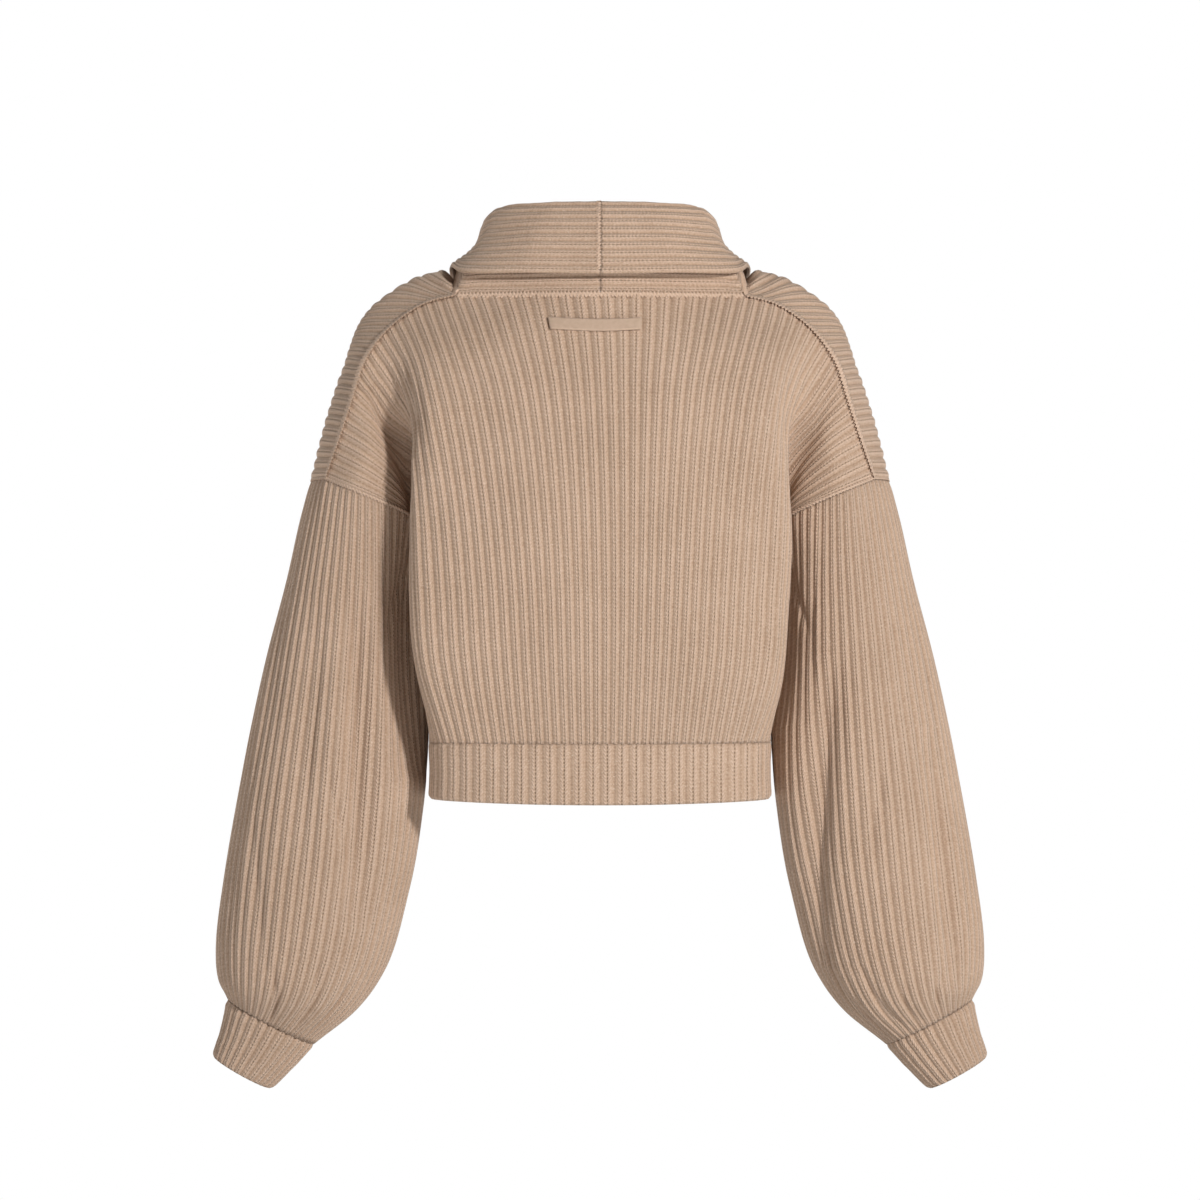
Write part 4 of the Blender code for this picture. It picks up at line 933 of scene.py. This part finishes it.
def make_sleeves(material):
    ribs = np.arange(FINE * SLEEVE_RIBS) / FINE
    rib, share = panel_grid(ribs, np.linspace(0, 1, SLEEVE_ROWS) ** 1.05)
    pieces = []
    for side, folds in SLEEVE_FOLDS.items():
        points = sleeve_sheet(rib, share, folds)
        out = facing(points, closed=True)
        waves = slow_waves(WAVE_STEP * np.round(rib / WAVE_STEP), share, 0.04)
        points = points + (waves * between_ends(share, 0.06, 0.05))[..., None] * out
        points = press_creases(points, out, SLEEVE_CREASES[side], lambda r, s: sleeve_sheet(r, s, folds))
        out = facing(points, closed=True)
        rise = rib_rise(rib, share, points, SLEEVE_RELIEF, closed=True) * (1 - 0.4 * fade(share, 0.03))
        outer = points + (rise - HALF_RIB - seam_sink(points, "sleeve"))[..., None] * out
        inner = rib_ends(points - WALL * out)
        if side == "right":
            outer, inner = mirrored(outer), mirrored(inner)
        piece = knitted_wall("knit_sleeve_" + side, outer, inner, rib, stitches(points), closed=True)
        pieces.append(dress(piece, material, "knit_sleeve", "sleeve_" + side))
    return pieces


ROUND_START = 0.90
ROUND_DEPTH = 0.20


def rounded_end(points, outward, share):
    """Draws the last tenth of the rows in by a quarter circle, as a knitted edge rolls round."""
    along = np.clip((share - ROUND_START) / (1 - ROUND_START), 0, 1)
    return points - (ROUND_DEPTH * (1 - np.sqrt(1 - along**2)))[..., None] * outward


def make_cuffs(material):
    ribs = np.arange(FINE * CUFF_RIBS) / FINE
    rib, share = panel_grid(ribs, np.linspace(0, 1, CUFF_ROWS))
    points = cuff_sheet(rib, share)
    out = unit(points - points.mean(axis=0))
    rise = rib_rise(rib, share, points, SLEEVE_RELIEF, closed=True) - HALF_RIB
    outer = points + (rise - seam_sink(points, "cuff"))[..., None] * out
    grids = (rounded_end(outer, out, share), rib_ends(points - WALL * out), rib, stitches(points))
    return both_sides("cuff", *grids, material, closed=True)


def make_waistband(material):
    line = hem_ring(FINE * BAND_RIBS + 1)
    step = np.gradient(line, axis=0)
    level = unit(np.stack([step[:, 1], -step[:, 0], np.zeros(len(line))], axis=-1))
    if level[len(line) // 2, 1] < 0:
        level = -level
    share = np.linspace(0, 1, BAND_ROWS)
    points = np.repeat(line[:, None], BAND_ROWS, axis=1)
    middle = np.clip(1 - (points[..., 0] / BAND_HALF) ** 2, 0, 1)
    points[..., 2] = HEM_Z + (BAND_Z - HEM_Z) * share * (1 + BAND_DIP * middle)
    out = np.repeat(level[:, None], BAND_ROWS, axis=1)
    rib, down = panel_grid(np.arange(len(line)) / FINE, share)
    points = points - (0.10 * np.sin(np.pi * down))[..., None] * out
    rise = BAND_RELIEF * round_rib(rib) * (1 + 0.12 * unevenness(rib, down))
    outer = points + (rise - seam_sink(points, "waistband"))[..., None] * out
    outer = rounded_end(outer, out, down)
    piece = knitted_wall("knit_waistband", outer, rib_ends(points - WALL * out), rib, stitches(points))
    return dress(piece, material, "knit_waistband", "waistband")


def collar_profile(foot, fold, edge, bulge):
    """One section of the collar by rib: up the stand, over the fold, down to the free edge."""
    rise = unit(fold - foot)
    outward = edge - foot
    outward = unit(outward - np.dot(outward, rise) * rise)
    stand_top = fold - FOLD_RADIUS * (rise + outward)
    fall_top = fold - FOLD_RADIUS * (rise - outward)
    corners = np.array([
        foot,
        (foot + stand_top) / 2 + STAND_HOLLOW * outward,
        stand_top,
        fold,
        fall_top,
        (fall_top + edge) / 2 + bulge * outward,
        edge,
    ])
    along = along_line(corners)
    fine = spline(along, corners, np.linspace(0, along[-1], 400))
    length = along_line(fine)
    return read_line(np.linspace(0, length[-1], FINE * COLLAR_RIBS + 1), length, fine)


def collar_seam(stations):
    """The seam that the collar rises from, by station, and the panels' outward directions there."""
    ribs = fine_ribs(-EDGE_RIB)
    back_out = facing(back_sheet(*panel_grid(ribs, (0.0, 0.01, 0.02))))[:, 0]
    front_ribs = fine_ribs(FRONT_RIB)
    front_rows = np.linspace(0, 1, 60)
    front_out = facing(front_sheet(*panel_grid(front_ribs, front_rows)), sense=-1)
    on_back = NECK_RIB / NECK_CORNER * np.clip(stations, 0, NECK_CORNER)
    on_front = np.interp(stations, *np.array(COLLAR_SEAM_RIBS).T)
    down = np.clip(stations - OPENING_TOP, 0, 1)
    back = back_form(on_back, np.zeros_like(on_back))
    back_level = unit(read_line(on_back, ribs, back_out) * (1, 1, 0))
    opening = front_sheet(np.full_like(down, FRONT_RIB), down)
    neckline_out = read_line(on_front, front_ribs, front_out[:, 0])
    opening_out = read_line(down, front_rows, front_out[0])
    on_neckline, on_neck = (stations[:, None] < end for end in (OPENING_TOP, NECK_CORNER))
    points = np.where(on_neck, back, np.where(on_neckline, front_top(on_front), opening))
    directions = np.where(on_neck, back_level, np.where(on_neckline, neckline_out, opening_out))
    kernel = np.ones(7) / 7
    padded = np.pad(directions, ((3, 3), (0, 0)), mode="edge")
    smooth = np.stack([np.convolve(padded[:, axis], kernel, "valid") for axis in range(3)], axis=-1)
    return points, unit(smooth)


def make_collars(knit):
    """Two halves of one shawl collar, ribbed on both sides, linked at the centre back."""
    ends = zip((0, 2, 4), (2, 4, 9), COLLAR_STEPS)
    stations = np.unique(np.concatenate([np.linspace(*end) for end in ends]))
    seam, seam_out = collar_seam(stations)
    table, folds, edges = zip(*COLLAR_STATIONS)
    fold, edge = spline(table, folds, stations), spline(table, edges, stations)
    bulge = np.interp(stations, *np.array(FALL_BULGE).T)
    places = zip(seam - WALL * seam_out, fold, edge, bulge)
    points = np.stack([collar_profile(*place) for place in places], axis=1)
    points = points + np.array([0, 0, 0.10]) * fade(np.linspace(0, 1, len(points)), 0.05)[:, None, None]
    out = facing(points, sense=-1)
    out[0] = -seam_out
    ribs, place = panel_grid(np.arange(len(points)) / FINE, stations)
    near_edge = np.clip((COLLAR_RIBS - ribs) / 0.5, 0, 1)  # 0 at the free edge, 1 half a rib from it
    shape = round_rib(ribs) * (1 + UNEVEN * unevenness(ribs, place))
    rise = RIB_HEIGHT * COLLAR_RELIEF * shape * np.sqrt(near_edge)
    under = WALL * (0.75 + 0.25 * near_edge) + 0.7 * rise * np.clip(ribs, 0, 1)
    outer = points + rise[..., None] * out
    inner = points - under[..., None] * out
    for grid in (outer, inner):
        grid[:, 0, 0] = SEAM_GAP / 2
    step = np.median(np.linalg.norm(np.diff(points, axis=1), axis=-1), axis=0)
    courses = np.concatenate([[0], np.cumsum(step)]) / STITCH * np.ones((len(points), 1))
    inside = slice(1, -3)
    middle_line = points[inside, 0] + 0.6 * rise[inside, :1] * out[inside, 0]
    middle_out = unit(out[inside, 0] * (0, 1, 1))
    linking("collar_link", middle_line + (0.10, 0, 0), middle_out, COLLAR_LINK, knit, "collar")
    return both_sides("collar", outer, inner, ribs, courses, knit["collar"])


def make_strip(material):
    """A bare tape sewn across the upper back, made from the back's own points, moved out."""
    u, v = panel_grid(np.linspace(*STRIP_RIBS, 57), np.linspace(*STRIP_HEIGHTS, 17))
    points = back_sheet(u, v)
    out = facing(points)
    aside, upright = (
        np.minimum(at - first, last - at) / soft
        for at, (first, last), soft in ((u, STRIP_RIBS, 0.25), (v, STRIP_HEIGHTS, 0.003))
    )
    round_edge = 1 - np.clip(np.minimum(aside, upright), 0, 1)
    lift = RIB_HEIGHT - 0.02 + STRIP_THICK
    outer = points + (lift - 0.07 * round_edge**2)[..., None] * out
    inner = points + (RIB_HEIGHT - 0.06) * out
    piece = knitted_wall("tape_back_strip", outer, inner, u, stitches(points))
    return dress(piece, material, "knit_strip", "back_strip")


# ---- linked seams: the width and height of each line of stitches ----
SHOULDER_LINK = (0.80, 0.11)
NECK_LINK = (0.74, 0.13)
CORNER_LINK = (1.00, 0.30)
COLLAR_LINK = (0.52, 0.16)
ARMHOLE_LINK = (0.40, 0.09)
CORNER_RIB = 8.6            # where the neck corner's line ends on the front
CORNER_HUB = (6.5, 1.0, -4.0)  # points inside the garment that the lines' tops face away from
BODY_HUB = (0.0, 0.0, -20.0)
ARMHOLE_END = 158           # the armhole's line stops short of the underarm at this angle
LINK_STEPS = 6              # sections for each stitch
LINK_ROUND = 12             # points round each section


def linking(name, line, out, size, knit, part):
    """A raised line of chain stitches along a seam, in the knit of one part.

    Each section is half round, and its width and height swell once a stitch; the two sides of the
    chain swell by turns.
    """
    width, height = size
    length = along_line(line)
    count = max(int(length[-1] / STITCH), 2)
    at = np.linspace(0, length[-1], count * LINK_STEPS + 1)
    line = read_line(at, length, line)
    out = unit(read_line(at, length, out))
    across = unit(np.cross(unit(np.gradient(line, axis=0)), out))
    turns = at / STITCH
    angle = np.linspace(0, 2 * np.pi, LINK_ROUND + 1)[:-1]
    along, around = np.meshgrid(turns, angle, indexing="ij")
    level, upright = np.cos(around), np.sin(around)
    swell = 0.74 + 0.26 * np.cos(2 * np.pi * along + 0.9 * level)
    ends = np.sqrt(np.clip(np.minimum(along, turns[-1] - along) / 0.8, 0.02, 1))
    wide = width / 2 * level * swell * ends
    tall = height * upright * swell * ends * np.where(upright < 0, 0.5, 1.0)
    groove = 0.30 * height * np.exp(-(level / 0.22) ** 2) * (upright > 0)
    lift = (tall - groove * ends)[..., None]
    points = line[:, None] + wide[..., None] * across[:, None] + lift * out[:, None]
    flat = np.concatenate([points.reshape(-1, 3), line[:1], line[-1:]]) * CM
    i, j = cells_of(len(at) - 1, LINK_ROUND)
    corners = ((i, j), (i + 1, j), (i + 1, j + 1), (i, j + 1))
    faces = np.stack([a * LINK_ROUND + b % LINK_ROUND for a, b in corners], -1)
    marks = np.stack([np.stack([0.25 + 0.5 * (b / LINK_ROUND), turns[a]], -1) for a, b in corners], -2)
    j = np.arange(LINK_ROUND)
    k = (j + 1) % LINK_ROUND
    tip, last = j * 0 + len(at) * LINK_ROUND, (len(at) - 1) * LINK_ROUND
    blank = np.full((LINK_ROUND, 3, 2), 0.3)
    first_end, last_end = np.stack([tip, j, k], -1), np.stack([tip + 1, last + k, last + j], -1)
    piece = make_mesh(name, flat, [(faces, marks), (first_end, blank), (last_end, blank)])
    return dress(piece, knit[part], "knit_" + part)


def linking_pair(name, line, out, size, knit, part):
    """The same linked seam on the left side and, mirrored, on the right."""
    linking(name + "_left", line, out, size, knit, part)
    linking(name + "_right", mirrored(line), mirrored(out), size, knit, part)


def make_seams(knit):
    """The linked seams of the shoulders, the neck, its corners and the armholes."""
    ribs = fine_ribs(-EDGE_RIB)[::2]
    back_out = facing(back_sheet(*panel_grid(ribs, (0.0, 0.012, 0.024))))[:, 0]
    shoulder_ribs = np.linspace(NECK_RIB, EDGE_RIB, 90)
    shoulder = curve(SHOULDER_SEAM, shoulder_ribs)
    out = unit(read_line(shoulder_ribs, ribs, back_out) + (0.35, -0.2, 0.6))
    line = shoulder + 0.03 * out
    linking_pair("shoulder_link", line, out, SHOULDER_LINK, knit, "back")
    neck_ribs = np.linspace(-NECK_RIB, NECK_RIB, 181)
    out = unit(read_line(neck_ribs, ribs, back_out) * (1, 1, 0.3))
    line = back_form(neck_ribs, np.zeros_like(neck_ribs)) + 0.06 * out - (0, 0, 0.10)
    linking("neck_link", line, out, NECK_LINK, knit, "collar")
    corner = front_top(np.linspace(NECK_RIB, CORNER_RIB, 60))
    out = unit(corner - CORNER_HUB)
    linking_pair("corner_link", corner + 0.06 * out, out, CORNER_LINK, knit, "collar")
    angle = np.linspace(-179.5, 180.0, 220)
    loop = armhole(angle[np.abs(angle) < ARMHOLE_END])
    out = unit(unit(loop - sleeve_middles()[0]) + unit(loop - BODY_HUB) * 0.6)
    linking_pair("armhole_link", loop - 0.01 * out, out, ARMHOLE_LINK, knit, "sleeve")


# ---- the studio, in metres and watts ----
WHITE = (1.0, 1.0, 1.0, 1.0)
BACKDROP_STRENGTH = 1.0
ROOM_LIGHT = 0.10
FLOOR = (9.0, -0.98)        # its radius and height
FLOOR_FADE = (0.3, 1.2)     # where the floor begins to melt into the backdrop, and over what length
CHEST = (0.0, 0.0, -0.3)
LIGHTS = (                  # name, place, size, power, colour; all face the chest
    ("key", (-1.95, 3.15, 0.75), 0.34, 106.0, (1.0, 0.985, 0.97)),
    ("side_fill", (3.4, 1.1, 0.1), 1.2, 11.0, (0.98, 0.99, 1.0)),
    ("front_key", (2.4, -2.8, 1.3), 1.6, 50.0, (1.0, 0.985, 0.96)),
)
CAMERA_AWAY = 4.0
CAMERA_Z = -0.258
PHOTO_WIDTH = 1.008         # of what the photograph shows, at the garment
FILM = 36.0                 # millimetres


def make_ground():
    """A pale round floor well below the garment that melts into the pale surroundings."""
    radius, height = FLOOR
    bpy.ops.mesh.primitive_circle_add(vertices=96, radius=radius, fill_type="NGON", location=(0, 0, height))
    floor = bpy.context.object
    floor.name = "floor"
    paint = Paint("pale_floor")
    place = paint.node("ShaderNodeTexCoord", {}, {}, 3)
    span = paint.node("ShaderNodeVectorMath", {"operation": "LENGTH"}, {0: place}, 1)
    far = paint.math("DIVIDE", span - FLOOR_FADE[0], FLOOR_FADE[1], clamp=True)
    glow = paint.node("ShaderNodeEmission", {}, {"Color": WHITE, "Strength": BACKDROP_STRENGTH})
    matt = Wire(paint, paint.shader.outputs[0])
    mix = paint.node("ShaderNodeMixShader", {}, {0: far, 1: matt, 2: glow})
    paint.feed(paint.tree.nodes["Material Output"].inputs[0], mix)
    floor.data.materials.append(paint.finish(Base_Color=(0.92, 0.92, 0.92, 1.0), Roughness=0.9))


def set_up(name, data, place, target):
    """Puts a lamp or camera at a place, facing a point."""
    holder = bpy.data.objects.new(name, data)
    bpy.context.scene.collection.objects.link(holder)
    holder.location = place
    holder.rotation_euler = (Vector(target) - holder.location).to_track_quat("-Z", "Y").to_euler()
    return holder


def make_studio():
    """A white backdrop that gives little light itself, three large lamps and the photograph's camera."""
    scene = bpy.context.scene
    world = scene.world = bpy.data.worlds.new("pale_room")
    world.use_nodes = True
    nodes, links = world.node_tree.nodes, world.node_tree.links
    backdrop, room = nodes["Background"], nodes.new("ShaderNodeBackground")
    for shade, strength in ((backdrop, BACKDROP_STRENGTH), (room, ROOM_LIGHT)):
        shade.inputs["Color"].default_value = WHITE
        shade.inputs["Strength"].default_value = strength
    mix = nodes.new("ShaderNodeMixShader")
    seen = nodes.new("ShaderNodeLightPath").outputs["Is Camera Ray"]
    for socket, feed in zip(mix.inputs, (seen, room.outputs[0], backdrop.outputs[0])):
        links.new(feed, socket)
    links.new(mix.outputs[0], nodes["World Output"].inputs[0])
    for name, place, size, power, colour in LIGHTS:
        lamp = bpy.data.lights.new(name, "AREA")
        lamp.size, lamp.energy, lamp.color = size, power, colour
        set_up(name, lamp, place, CHEST)
    scene.view_settings.view_transform = "Standard"
    camera = bpy.data.cameras.new("photo_view")
    camera.lens = FILM * CAMERA_AWAY / PHOTO_WIDTH
    camera.sensor_width = FILM
    scene.camera = set_up("photo_view", camera, (0, CAMERA_AWAY, CAMERA_Z), (0, 0, CAMERA_Z))


TONES = {"back": 1.0, "front": 0.98, "sleeve": 0.99, "collar": 1.02, "waistband": 1.0, "cuff": 0.99}


def main():
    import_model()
    knit = {name: knit_material("knit_" + name, tone) for name, tone in TONES.items()}
    pieces = [make_back(knit["back"])]
    pieces += make_fronts(knit["front"])
    pieces += make_sleeves(knit["sleeve"])
    pieces += make_cuffs(knit["cuff"])
    pieces.append(make_waistband(knit["waistband"]))
    pieces += make_collars(knit)
    pieces.append(make_strip(tape_material("knit_strip")))
    make_seams(knit)
    make_studio()
    make_ground()


main()
